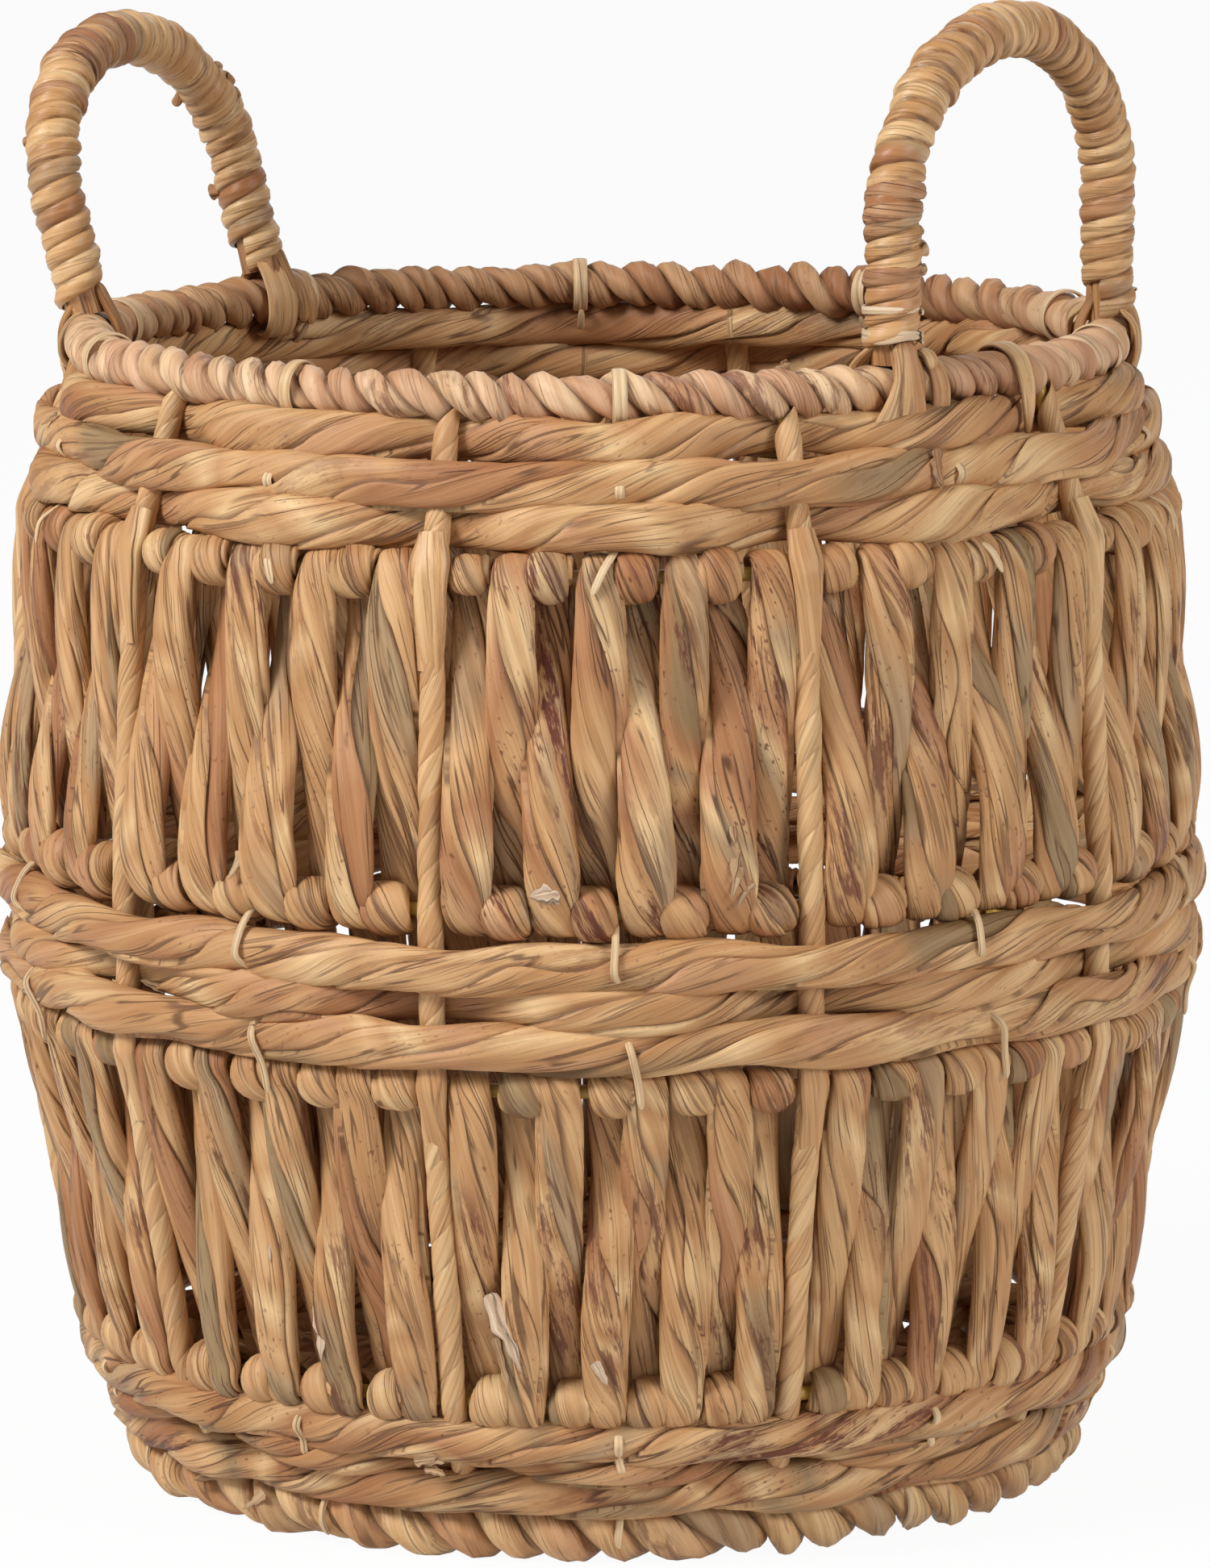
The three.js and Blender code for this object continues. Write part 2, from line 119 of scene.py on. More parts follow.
def section_axes(path, side, closed=False):
    """The two directions across a path: side, made square to it, and the one that is left. side
    may be one vector for the whole path."""
    if closed:
        travel = unit(np.roll(path, -1, axis=0) - np.roll(path, 1, axis=0))
    else:
        travel = unit(np.gradient(path, axis=0))
    side = unit(side - travel * np.sum(side * travel, axis=-1, keepdims=True))
    return side, np.cross(side, travel)


def put(name, data):
    made = bpy.data.objects.new(name, data)
    bpy.context.scene.collection.objects.link(made)
    return made


for node, ring in (("rim_wrap", RIM), ("base_wrap", BASE)):
    low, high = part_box(node)
    print(node, "middle", round((low.z + high.z) / 2, 4), "ring at", ring[1])

# %% [markdown]
# ## Leafwork
# A basket is nothing but long skins: tubes with creases, and strips wound round something. Each is
# a grid of points whose columns close round it. Curve bevels would give smooth round tubes, and
# sculpting can't repeat. A grid built by formula keeps the leaf edges where they are wanted, and
# it gives each face its place along and across the leaf. The finish needs that for its fibres.

# %% The maker of pieces
class Leafwork:
    """Skins of leaf that are gathered into one piece."""

    def __init__(self):
        self.points = []
        self.faces = []
        self.values = []
        self.layout = []
        self.count = 0
        self.strips = 0

    def skin(self, points, values, shift=0, closed=False, strips=1):
        """points: rows x columns x 3. values: face rows x columns x 4 corners x 4, which are
        metres across the leaf, metres along it, the leaf's own chance and nearness to an edge.
        A skin that winds on moves by shift rows in one turn."""
        rows, columns = points.shape[:2]
        row, column = np.meshgrid(np.arange(len(values)), np.arange(columns), indexing="ij")
        turned = (column + 1) // columns
        corners = [(row, column), (row + shift * turned, column + 1),
                   (row + 1 + shift * turned, column + 1), (row + 1, column)]
        kept = np.ones(row.shape, bool) if closed else corners[2][0] < rows
        index = [(r % rows) * columns + c % columns + self.count for r, c in corners]
        self.points.append(points.reshape(-1, 3))
        self.faces.append(np.stack(index, axis=-1)[kept])
        self.values.append(values[kept])
        run = row * strips / len(values)
        strip = np.floor(run + 1e-9)
        step = strips / len(values)
        x = np.stack([column, column + 1, column + 1, column], axis=-1) / columns
        y = (run - strip)[..., None] + step * np.array([0, 0, 1, 1])
        home = np.broadcast_to((strip + self.strips)[..., None], x.shape)
        self.layout.append(np.stack([home, x, y], axis=-1)[kept])
        self.count += rows * columns
        self.strips += strips

    def piece(self, name, finish, nodes=()):
        """The object, riding on the basket in place of its CAD nodes."""
        points = np.concatenate(self.points)
        faces = np.concatenate(self.faces)
        values = np.concatenate(self.values)
        home, x, y = np.moveaxis(np.concatenate(self.layout), -1, 0)
        mesh = bpy.data.meshes.new(name)
        mesh.vertices.add(len(points))
        mesh.vertices.foreach_set("co", points.astype(np.float32).ravel())
        mesh.loops.add(faces.size)
        mesh.loops.foreach_set("vertex_index", faces.astype(np.int32).ravel())
        mesh.polygons.add(len(faces))
        mesh.polygons.foreach_set("loop_start", np.arange(0, faces.size, 4, dtype=np.int32))
        mesh.update(calc_edges=True)
        mesh.polygons.foreach_set("use_smooth", np.ones(len(faces), bool))
        flat = np.stack([(home + 0.03 + 0.94 * x) / self.strips, 0.01 + 0.98 * y], axis=-1)
        for title, pairs in (("leaf", values[..., :2]), ("tint", values[..., 2:]),
                             ("OFBake", flat)):
            layer = mesh.uv_layers.new(name=title)
            layer.data.foreach_set("uv", pairs.astype(np.float32).ravel())
        mesh.materials.append(finish)
        made = put(name, mesh)
        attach(made, "root")
        if nodes:
            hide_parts(*nodes)
        print(name, len(faces), "faces")


# %% [markdown]
# ## Twisted strand
# A strand or rope is two to four leaves twisted on each other. Seen from the side, each leaf is a
# broad smooth face with fine folds along it, and its free edge laps over the next leaf. So the
# section is a ring of faces with a step at each edge, and it turns as it goes along. The fibres
# keep straight on while the edges wander, so they run out at an edge, as on the real rope.

# %% Strand skin
SQUARENESS = 0.88
FOLDS = (3, 5, 8)
FIBRE_R = 6 * MM
WAVE = 60 * MM
LEAST_LEAF = 0.18


def leaf_edges(part, leaves, cycles, wander, unevenness, rng):
    """Angles at which the leaves begin, in each row, and once more the first one."""
    shares = rng.uniform(1 - unevenness, 1 + unevenness, leaves)
    first = rng.uniform(0, 2 * np.pi) + wander * waves(part, cycles, rng)
    spans = [share * (1 + wander * waves(part, cycles, rng)) for share in shares]
    spans = np.stack(spans, axis=-1)
    spans = np.maximum(spans, LEAST_LEAF)
    spans = 2 * np.pi * spans / spans.sum(axis=-1, keepdims=True)
    return np.concatenate([first[:, None], first[:, None] + np.cumsum(spans, axis=-1)], axis=-1)


def strand(path, side, wide, thick, twist, rng, leaves=3, columns=12, lap=0.12, bulge=0.07,
           wander=0.22, unevenness=0.4, fold=0.016, length=None):
    """Points and values of a strand. wide is its half size along side, thick across it, and twist
    its turn in radians. length is given for a rope that closes on itself."""
    closed = length is not None
    rows = len(path)
    side, out = section_axes(path, side, closed)
    run = run_along(path)
    total = length or run[-1]
    part = run / total
    cycles = total / WAVE
    edges = leaf_edges(part, leaves, cycles, wander, unevenness, rng)
    across = np.linspace(0, 1, columns)
    span = np.diff(edges, axis=-1)
    angle = edges[:, :-1, None] + span[..., None] * across
    strength = np.stack([0.9 + 0.4 * waves(part, cycles, rng) for _ in range(leaves)], axis=-1)
    strength = np.clip(strength, 0.25, 1.5)[..., None]
    size = 1 + bulge * (np.sin(np.pi * across) ** 0.6 - 0.7) * np.minimum(span[..., None], 2) / 2
    size = size + lap * strength * (across - 0.55) - 0.5 * lap * strength * np.exp(-14 * across)
    for leaf in range(leaves):
        for count in FOLDS:
            depth = fold * (0.6 + 0.9 * waves(part, 1.5 * cycles, rng)) * rng.uniform(0.5, 1.3)
            ridge = np.sin(count * angle[:, leaf] + rng.uniform(0, 2 * np.pi))
            size[:, leaf] += depth[:, None] * ridge * np.sin(np.pi * across) ** 0.5
    turned = (angle + twist[:, None, None]).reshape(rows, -1)
    size = size.reshape(rows, -1)
    cosine, sine = np.cos(turned), np.sin(turned)
    cosine = np.sign(cosine) * np.abs(cosine) ** SQUARENESS
    sine = np.sign(sine) * np.abs(sine) ** SQUARENESS
    points = (path[:, None] + side[:, None] * (wide[:, None] * cosine * size)[..., None]
              + out[:, None] * (thick[:, None] * sine * size)[..., None])
    v = run[:, None, None] + rng.uniform(0, 9) + 0 * angle
    slant = rng.normal(0, 0.06, leaves)[None, :, None]
    u = FIBRE_R * angle + slant * (v - v[0, 0, 0])
    chance = rng.uniform(0, 1, leaves)[None, :, None] + 0 * u
    here = np.stack([u, v, chance, across + 0 * u], axis=-1).reshape(rows, -1, 4)
    column = np.arange(leaves * columns)
    following = np.where(column % columns == columns - 1, column, column + 1)
    there = here[:, following]
    if closed:
        here = np.concatenate([here, here[:1]])
        there = np.concatenate([there, there[:1]])
        for last in (here[-1], there[-1]):
            last[:, 1] += total
    values = np.stack([here[:-1], there[:-1], there[1:], here[1:]], axis=2)
    return points, values


# %% [markdown]
# ## Wound strip
# The rim, the base, the uprights and the handles have strip wound round them. One strip or two
# side by side go round many times. Each turn is a lump between two creases, and it overlaps the
# last one. A torus with a bump texture would lose the scalloped outline, so the grid itself
# follows the strip: its rows run along the creases and climb as they go round.

# %% Strip skin
ROUND_BAND = (0.0, 0.06, 0.15, 0.28, 0.42, 0.58, 0.72, 0.85, 0.94)
LAPPED_BAND = (0.0, 0.05, 0.13, 0.26, 0.42, 0.58, 0.74, 0.88, 0.97)


def lump(f):
    return np.sin(np.pi * np.clip(f, 0, 1)) ** 0.56


def pillow(f):
    return np.sin(np.pi * np.clip(f, 0, 1)) ** 0.33 * (1.1 - 0.25 * f)


def lapped(f):
    return (1 - (1 - f) ** 5) * (1 - 0.5 * f ** 1.5)


def wound(route, bands, core, height, rng, profile, places, starts=2, columns=24, width=8 * MM,
          closed=False, unevenness=0.35, fold=0.06, skew=0.12):
    """starts strips side by side, in so many bands, which are turns of a strip. route(t) gives
    middle, side, out and shape. The strip lies between core and core + height from the middle.
    profile is its shape across, seen at places. fold is the depth of its own folds, as a share
    of its height, and skew turns its fibres."""
    places = np.array(places)
    rows = bands * len(places) if closed else bands * len(places) + 1
    row = np.arange(rows)
    band, f = row // len(places), places[row % len(places)]
    around_it = np.arange(columns) / columns
    phase = band[:, None] + f[:, None] + starts * around_it[None]
    t = phase / bands if closed else phase / (bands + starts)
    middle, side, out, shape = route(t % 1 if closed else t)
    turns = (band // starts)[:, None] + around_it[None]
    which = band % starts
    most = bands / starts
    varied, wide, drift = (np.zeros(turns.shape) for _ in range(3))
    for s in range(starts):
        mine = which == s
        for line, cycles, terms in ((varied, 1.3, 7), (wide, 0.8, 6), (drift, 0.7, 6)):
            line[mine] = waves(turns[mine] / most % 1, most * cycles, rng, terms)
    local = np.clip(f[:, None] + 0.16 * wide * np.sin(np.pi * f)[:, None], 0, 1)
    creases = (np.sin(2 * np.pi * (1.5 * local + drift))
               + 0.7 * np.sin(2 * np.pi * (3 * local - drift)))
    r = core + height * profile(local) * (1 + unevenness * varied + fold * creases)
    psi = 2 * np.pi * around_it[None] + np.pi + 0 * r
    points = middle + (side * (shape[..., 0] * r * np.sin(psi))[..., None]
                       + out * (shape[..., 1] * r * np.cos(psi))[..., None])
    face = np.arange(rows if closed else rows - 1)
    own, low = face // len(places), places[face % len(places)]
    high = np.append(places, 1.0)[face % len(places) + 1]
    girth = 2 * np.pi * (core + height)
    chance = rng.uniform(0, 1, starts)[own % starts]
    corners = []
    for level, ahead in ((low, 0), (low, 1), (high, 1), (high, 0)):
        along = ((own // starts)[:, None] + (around_it + ahead / columns)[None]) * girth
        u = (level * width)[:, None] + skew * along
        edge = level[:, None] + 0 * u
        corners.append(np.stack([u, along + 7 * chance[:, None], chance[:, None] + 0 * u, edge],
                                axis=-1))
    return points, np.stack(corners, axis=2), starts * len(places)


def along_line(points, side, shapes):
    """A route for wound() along a line of points, with its two section directions."""
    run = run_along(points)
    part = run / run[-1]
    side, out = section_axes(points, side)

    def route(t):
        return (between(t, part, points), unit(between(t, part, side)),
                unit(between(t, part, out)), between(t, part, shapes))

    return route


def ring_route(ring, sway, crowding, seed):
    """A route round a ring. It sways a little, and its turns crowd in places."""

    def route(t):
        chance = np.random.default_rng(seed)
        angle = 2 * np.pi * t + crowding / ring[0] * waves(t, 14, chance, 7)
        r = ring[0] + sway * waves(t, 12, chance, 7)
        z = ring[1] + sway * waves(t, 12, chance, 7)
        return (place(angle, r, z), outward(angle), UP + 0 * outward(angle),
                np.ones(t.shape + (2,)))

    return route


# %% [markdown]
# ## Finishes
# Dried leaf is tan, with straw where the sun has bleached it, grey-olive where it was damp and
# red-brown stains along some fibres. Its fibres run along the leaf, never across. A photograph
# could be laid on, but the pattern has to follow every twist, so it is worked out from the
# metres across and along each leaf that the meshes carry.

# %% Shader arithmetic
class Signal:
    """A socket of a finish, on which arithmetic adds Math nodes."""

    def __init__(self, tree, socket):
        self.tree = tree
        self.socket = socket

    def node(self, kind, settings=None, sockets=None, out=0):
        made = self.tree.nodes.new("ShaderNode" + kind)
        for key, value in (settings or {}).items():
            if key == "stops":
                ramp = made.color_ramp.elements
                while len(ramp) < len(value):
                    ramp.new(0.5)
                for stop, (position, colour) in zip(ramp, value):
                    stop.position = position
                    stop.color = colour
            else:
                setattr(made, key, value)
        for key, value in (sockets or {}).items():
            if isinstance(value, Signal):
                value.to(made.inputs[key])
            else:
                made.inputs[key].default_value = value
        return Signal(self.tree, made.outputs[out])

    def to(self, socket):
        self.tree.links.new(self.socket, socket)

    def math(self, operation, a, b=0.0):
        return self.node("Math", {"operation": operation}, {0: a, 1: b})

    def __add__(self, other):
        return self.math("ADD", self, other)

    def __sub__(self, other):
        return self.math("SUBTRACT", self, other)

    def __rsub__(self, other):
        return self.math("SUBTRACT", other, self)

    def __mul__(self, other):
        return self.math("MULTIPLY", self, other)

    __radd__ = __add__
    __rmul__ = __mul__

    def rise(self, low, high):
        """0 below low, 1 above high and smooth between them."""
        return self.node("MapRange", {"interpolation_type": "SMOOTHSTEP"},
                         {"Value": self, "From Min": low, "From Max": high})

    def parts(self):
        return (self.node("SeparateXYZ", sockets={0: self}, out=k) for k in range(2))

    def mix(self, colour, other, mode="MIX"):
        """The colour, with the other laid on where self is 1."""
        settings = {"data_type": "RGBA", "blend_type": mode}
        return self.node("Mix", settings, {0: self, 6: colour, 7: other}, out=2)


def tone(red, green, blue):
    """A colour as seen on screen, 0 to 255, for a socket."""
    channels = [c / 255 for c in (red, green, blue)]
    linear = [c / 12.92 if c <= 0.04045 else ((c + 0.055) / 1.055) ** 2.4 for c in channels]
    return (*linear, 1.0)


# %% Leaf finish
STRAW = tone(230, 193, 143)
SAND = tone(218, 174, 124)
TAN = tone(202, 155, 106)
PINK = tone(198, 148, 106)
OLIVE = tone(162, 134, 96)
GREY = tone(184, 152, 114)
RUSSET = tone(178, 126, 84)
STAIN = tone(102, 50, 32)
# dark brown of the fibre lines, which also serves as the painted shade in the creases
FIBRE_AND_CREASE_SHADE = tone(84, 50, 26)
SHADE = tone(232, 220, 208)
MIXED = (OLIVE, GREY, TAN, SAND, TAN, STRAW, TAN, SAND, TAN, PINK, RUSSET)


def new_finish(name):
    finish = bpy.data.materials.new(name)
    finish.use_nodes = True
    tree = finish.node_tree
    return finish, Signal(tree, None), tree.nodes["Principled BSDF"]


FIBRE_DEPTH = 0.4 * MM


def leaf_finish(name, tones=MIXED, stain=0.8, lines=0.75, weathered=0.6, roughness=0.62,
                relief=0.8, crease_shade=0.55, far_half_shade=None, beads=False):
    """How much the stains, fibres and specks show is given by stain, lines and weathered. tuck
    sets how dark the painted shade is in the crease where a leaf comes out from under its
    neighbour, and beads paints that shade at both edges of each strip. far_half_shade is a colour
    that is multiplied over the far half of a ring as painted shade."""
    finish, start, shader = new_finish(name)
    across, along = start.node("UVMap", {"uv_map": "leaf"}).parts()
    chance, edge = start.node("UVMap", {"uv_map": "tint"}).parts()

    def noise(over, down, shift, detail=1.0, coarse=0.5):
        """over and down are its cells per metre across and along the leaf."""
        where = start.node("CombineXYZ", sockets={0: across * over, 1: along * down,
                                                  2: chance * 31.0 + shift})
        return start.node("TexNoise", sockets={"Vector": where, "Scale": 1.0, "Detail": detail,
                                               "Roughness": coarse})

    # each stretch of a leaf has its own tone
    places = np.linspace(0.32, 0.68, len(tones))
    stops = [(float(place), colour) for place, colour in zip(places, tones)]
    mood = noise(16, 10, 0.5, 0.6)
    colour = start.node("ValToRGB", {"stops": stops}, {"Fac": mood})
    # faint streaks, fine fibres and thin dark lines run along it
    fine = noise(2400, 36, 4.5, 2.0, 0.65)
    streak = noise(420, 12, 7.5, 2.0)

    def hairs(over, down, shift, width):
        away = start.math("ABSOLUTE", noise(over, down, shift) - 0.5)
        return (1.0 - away.rise(0.2 * width, width)) * noise(170, 36, shift + 1.0).rise(0.5, 0.6)

    thin = start.math("MAXIMUM", hairs(300, 16, 9.5, 0.032), hairs(700, 22, 12.5, 0.05) * 0.7)
    colour = streak.rise(0.36, 0.64).mix(colour, SHADE, "MULTIPLY")
    colour = (fine.rise(0.44, 0.72) * 0.34 * lines).mix(colour, FIBRE_AND_CREASE_SHADE)
    colour = (thin * lines).mix(colour, FIBRE_AND_CREASE_SHADE)
    # damp has left red-brown stains and dark specks
    patch = noise(380, 60, 15.5, 4.0, 0.75).rise(0.47, 0.60)
    patch = patch * noise(60, 11, 18.5, 0.0).rise(0.60, 0.72)
    colour = (patch * stain).mix(colour, STAIN)
    specks = noise(900, 460, 21.5).rise(0.64, 0.74) * noise(50, 24, 24.5).rise(0.46, 0.60)
    colour = (specks * weathered).mix(colour, STAIN)
    # painted shade: each leaf is darkened in the crease where it comes out from under its
    # neighbour
    crease_shade_mask = 1.0 - edge.rise(0.0, 0.14)
    # the same painted crease shade at the other edge of each strip too
    if beads:
        crease_shade_mask = start.math("MAXIMUM", crease_shade_mask, edge.rise(0.88, 1.0))
    colour = (crease_shade_mask * crease_shade).mix(colour, FIBRE_AND_CREASE_SHADE)
    if far_half_shade:
        # painted shade: the far half of the ring is multiplied by a darker colour
        x, y = start.node("TexCoord", out="Object").parts()
        far = (x * -0.42 + y * 0.91).rise(0.0, 0.09)
        colour = far.mix(colour, far_half_shade, "MULTIPLY")
    colour.to(shader.inputs["Base Color"])
    ridges = fine * 0.5 + streak * 0.8 - thin * 0.6
    bump = start.node("Bump", sockets={"Strength": relief, "Distance": FIBRE_DEPTH,
                                         "Height": ridges})
    bump.to(shader.inputs["Normal"])
    gloss = fine.rise(0.3, 0.7) * -0.12 + roughness
    gloss.to(shader.inputs["Roughness"])
    shader.inputs["Specular IOR Level"].default_value = 0.36
    return finish


STRAND_LEAF = leaf_finish("panel_strand_leaf", crease_shade=0.7)
DAMP_STRAND_LEAF = leaf_finish(
    "damp_strand_leaf",
    (OLIVE, RUSSET, TAN, GREY, SAND, TAN, RUSSET, PINK, STRAW, GREY, TAN, RUSSET),
    stain=1.0, lines=0.9, weathered=0.8, crease_shade=0.8)
ROPE_LEAF = leaf_finish(
    "rope_leaf", (OLIVE, TAN, TAN, SAND, TAN, STRAW, TAN, PINK, TAN, RUSSET),
    stain=0.4, weathered=0.4, crease_shade=0.68)
DAMP_ROPE_LEAF = leaf_finish(
    "damp_rope_leaf",
    (RUSSET, TAN, GREY, SAND, TAN, RUSSET, STRAW, TAN, OLIVE, SAND, RUSSET),
    stain=0.95, lines=0.85, crease_shade=0.75)
RIM_TONES = (tone(204, 158, 122), tone(218, 176, 138), tone(226, 188, 148), tone(234, 200, 160),
             tone(228, 190, 152), tone(222, 180, 144), tone(210, 164, 128))
# painted shade over the far half of the rim, from a multiplied colour, and in the creases of its
# beads
RIM_LEAF = leaf_finish("rim_leaf", RIM_TONES, stain=0.7, lines=0.5, weathered=0.3,
                       far_half_shade=tone(218, 202, 186), beads=True)
# painted shade in both creases of every lump of the base wrap
BASE_LEAF = leaf_finish("base_leaf", (GREY, SAND, STRAW, STRAW, SAND, STRAW, PINK, TAN),
                        stain=0.6, lines=0.6, weathered=0.3, crease_shade=0.4, beads=True)
UPRIGHT_LEAF = leaf_finish("upright_strip", (TAN, SAND, STRAW, SAND), stain=0.2, lines=0.45,
                           weathered=0.2, roughness=0.48, relief=0.5, crease_shade=0.2)
HANDLE_LEAF = leaf_finish("handle_strip", (RUSSET, GREY, TAN, SAND, STRAW, SAND, TAN, PINK),
                          stain=0.6, lines=0.55, weathered=0.3, roughness=0.46, relief=0.5,
                          crease_shade=0.5)
BROWN_TONES = (tone(206, 164, 122), tone(184, 136, 98), tone(172, 124, 92), tone(190, 144, 104),
               tone(212, 170, 126))
BROWN_LEAF = leaf_finish("brown_strip", BROWN_TONES, stain=0.7, lines=1.0, weathered=0.4,
                         roughness=0.5, relief=0.7, crease_shade=0.6)
PALE_TONES = (tone(214, 184, 154), tone(234, 210, 184), tone(222, 194, 166))
PALE_LEAF = leaf_finish("pale_inner_leaf", PALE_TONES, stain=0.5, lines=0.4, roughness=0.75)
CANE_TONES = (tone(226, 194, 150), tone(236, 208, 168), tone(228, 200, 160))
CANE = leaf_finish("pale_cane", CANE_TONES, stain=0.0, lines=0.25, weathered=0.0, roughness=0.5,
                   relief=0.4)
CORD = leaf_finish("whitish_cord", (tone(222, 196, 162), tone(232, 210, 180)), stain=0.0,
                   lines=0.2, weathered=0.0, roughness=0.5, relief=0.4)
TORN_TONES = (tone(198, 158, 116), tone(216, 184, 146), tone(188, 142, 102))
TORN_LEAF = leaf_finish("torn_leaf", TORN_TONES, stain=0.4, lines=0.6, weathered=0.4,
                        roughness=0.75)
STIFF_LEAF = leaf_finish("stiff_leaf_rib", (TAN, tone(178, 128, 80), tone(196, 148, 98)),
                         stain=0.3, lines=0.9, weathered=0.3, roughness=0.55)
print("finishes", len(bpy.data.materials))

# %% [markdown]
# ## Panels
# Each bay of a panel is one long strand that runs up and down eight times. At every ring it goes
# round the wire one and a half times, which leaves a knob beside the run. So each run that sets
# off behind one wire ends in front of the other, or the other way round. I work out the strand's
# middle line first, in the plane of radius and height, and its place round the basket follows.

# %% Line of a winding
RUNS = 8
GUARD = 4.2 * MM
LOOP_R = 4.3 * MM
KNOB_SPREAD = 0.9 * MM
RUN_STEPS = 44
TURN_STEP = 14 * DEG
# Half width as a share of the pitch, and half thickness, at a ring and midway
RING_SHARE = 0.53
MID_SHARE = 0.59
RING_THICK = 2.1
MID_THICK = 4.0
KNOB_SHARE = 0.14
KNOB_THICK = 1.8
KNOB_REACH = 62 * DEG


def eased(values, reach):
    """Each column smoothed over a number of rows, with its ends kept."""
    weights = np.hanning(2 * reach + 1)
    weights = weights / weights.sum()
    padded = np.pad(values, ((reach, reach), (0, 0)), mode="edge")
    return np.stack([np.convolve(column, weights, "valid") for column in padded.T], axis=-1)


def winding_line(top, bottom, first, start_in_front, bulge, rng):
    """Rows of angle, radius, height, half width, half thickness and tightness of the twist."""
    guard = GUARD / min(top[0], bottom[0])
    pitch = (BAY - 2 * guard) / RUNS
    at = first + guard + (np.arange(RUNS) + 0.5) * pitch
    at = at + rng.normal(0, 0.05, RUNS) * pitch

    def turn(ring, begin, end, here, there):
        """Round the wire, from begin to end in half turns. The strand swells to a knob once."""
        late = abs(begin) == 1
        begin, end = begin * math.pi, end * math.pi
        count = int(abs(end - begin) / TURN_STEP)
        t = np.linspace(0, 1, count + 1)
        phi = begin + (end - begin) * t
        gone = np.abs(phi - begin)
        shift = smooth((gone - (200 if late else 40) * DEG) / (290 * DEG))
        angle = here + (there - here) * (0.55 * shift + 0.45 * t)
        r = LOOP_R + KNOB_SPREAD * smooth(gone / (540 * DEG)) + 0.3 * MM * rng.normal()
        knob = np.exp(-((gone - (180 if late else 360) * DEG) / KNOB_REACH) ** 2)
        wide = pitch * ring[0] * (RING_SHARE - 0.05 + KNOB_SHARE * knob * rng.uniform(0.5, 1.3))
        thick = (RING_THICK + KNOB_THICK * knob * rng.uniform(0.6, 1.2)) * MM
        return np.stack([angle, ring[0] + r * np.cos(phi), ring[1] + r * np.sin(phi), wide, thick,
                         np.ones(len(t))], axis=-1)

    def run(k, down):
        """One strand from ring to ring, which starts on one side of the wires and ends on the
        other. low is 0 at the lower ring and 1 at the upper one."""
        ring, other = (top, bottom) if down else (bottom, top)
        t = np.linspace(0, 1, RUN_STEPS)[1:-1]
        side = LOOP_R if start_in_front else -(LOOP_R + KNOB_SPREAD)
        blend = smooth((t - 0.06) / 0.88)
        low = 1 - t if down else t
        r = ring[0] + (other[0] - ring[0]) * t + side * (1 - 2 * blend)
        swell = np.sin(np.pi * t) ** 0.7
        r = r + bulge * np.sin(np.pi * np.clip(1 - low, 0, 1) ** 1.6)
        r = r + rng.normal(0, 0.9) * MM * swell
        z = ring[1] + (other[1] - ring[1]) * t
        drift = rng.normal(0, 0.10) * np.sin(np.pi * t)
        drift = drift + rng.normal(0, 0.06) * np.sin(2 * np.pi * t)
        flares = start_in_front != down and top is PANEL_TOP
        flare = rng.uniform(0, 0.6) * smooth((0.3 - low) / 0.3) * flares
        share = RING_SHARE + (MID_SHARE + rng.uniform(-0.04, 0.06) - RING_SHARE) * swell
        wide = pitch * r * (share + (RING_SHARE * flare))
        thick = (RING_THICK + (MID_THICK - RING_THICK + rng.uniform(-0.3, 0.3)) * swell) * MM
        return np.stack([at[k] + drift * pitch, r, z, wide, thick, 0 * t], axis=-1)

    # one and a half turns lead from each run to the next, and less of a turn hides each end
    line = [turn(top, *((0.8, 0) if start_in_front else (1.4, 3)), at[0], at[0])]
    for k in range(RUNS):
        down = k % 2 == 0
        line.append(run(k, down))
        last = k == RUNS - 1
        ring, sense = (bottom, -1) if down else (top, 1)
        if start_in_front:
            begin, end = 1, (-0.6 if last else -2)
        else:
            begin, end = 0, (1.2 if last else 3)
        line.append(turn(ring, sense * begin, sense * end, at[k], at[k if last else k + 1]))
    line = np.concatenate(line)
    return np.concatenate([eased(line[:, :3], 2), eased(line[:, 3:], 7)], axis=-1)


# %% Windings
TWIST_LENGTH = 150 * MM
KNOB_TWIST = 1.8
PANELS = (("upper", PANEL_TOP, WAIST_TOP, False, 2.0 * MM),
          ("lower", WAIST_BOTTOM, PANEL_BOTTOM, True, 0.8 * MM))


def taper(rows, over=5):
    """Narrow ends, over a few rows."""
    i = np.arange(rows)
    return np.clip(np.minimum(i + 0.4, rows - 0.6 - i) / over, 0, 1) ** 0.6


def add_winding(work, top, bottom, first, start_in_front, bulge, seed):
    rng = np.random.default_rng(seed)
    line = winding_line(top, bottom, first, start_in_front, bulge, rng)
    angle, r, z, wide, thick, tight = line.T
    path = place(angle, r, z)
    run = run_along(path)
    part = run / run[-1]
    turns = np.cumsum(np.gradient(run) * (1 + KNOB_TWIST * tight)) / TWIST_LENGTH
    twist = 2 * np.pi * turns + 0.3 * waves(part, 8, rng)
    ends = taper(len(path))
    points, values = strand(path, around(angle), wide * ends, thick * ends, twist, rng, lap=0.17,
                            wander=0.3, unevenness=0.55, fold=0.02)
    work.skin(points, values, strips=8)


# In these bays of the upper panel the strand had been damp
DAMP_BAYS = (1, 4, 7)

for title, top, bottom, start_in_front, bulge in PANELS:
    for bay in range(BAYS):
        work = Leafwork()
        seed = 100 * (1 + bay) + len(title) + (7 if start_in_front else 0)
        first = FIRST_UPRIGHT + bay * BAY
        add_winding(work, top, bottom, first, start_in_front, bulge, seed)
        node = f"{title}_winding_{bay + 1:02d}"
        leaf = DAMP_STRAND_LEAF if title == "upper" and bay in DAMP_BAYS else STRAND_LEAF
        work.piece(f"{title}_panel_strand_{bay + 1:02d}", leaf, [node])

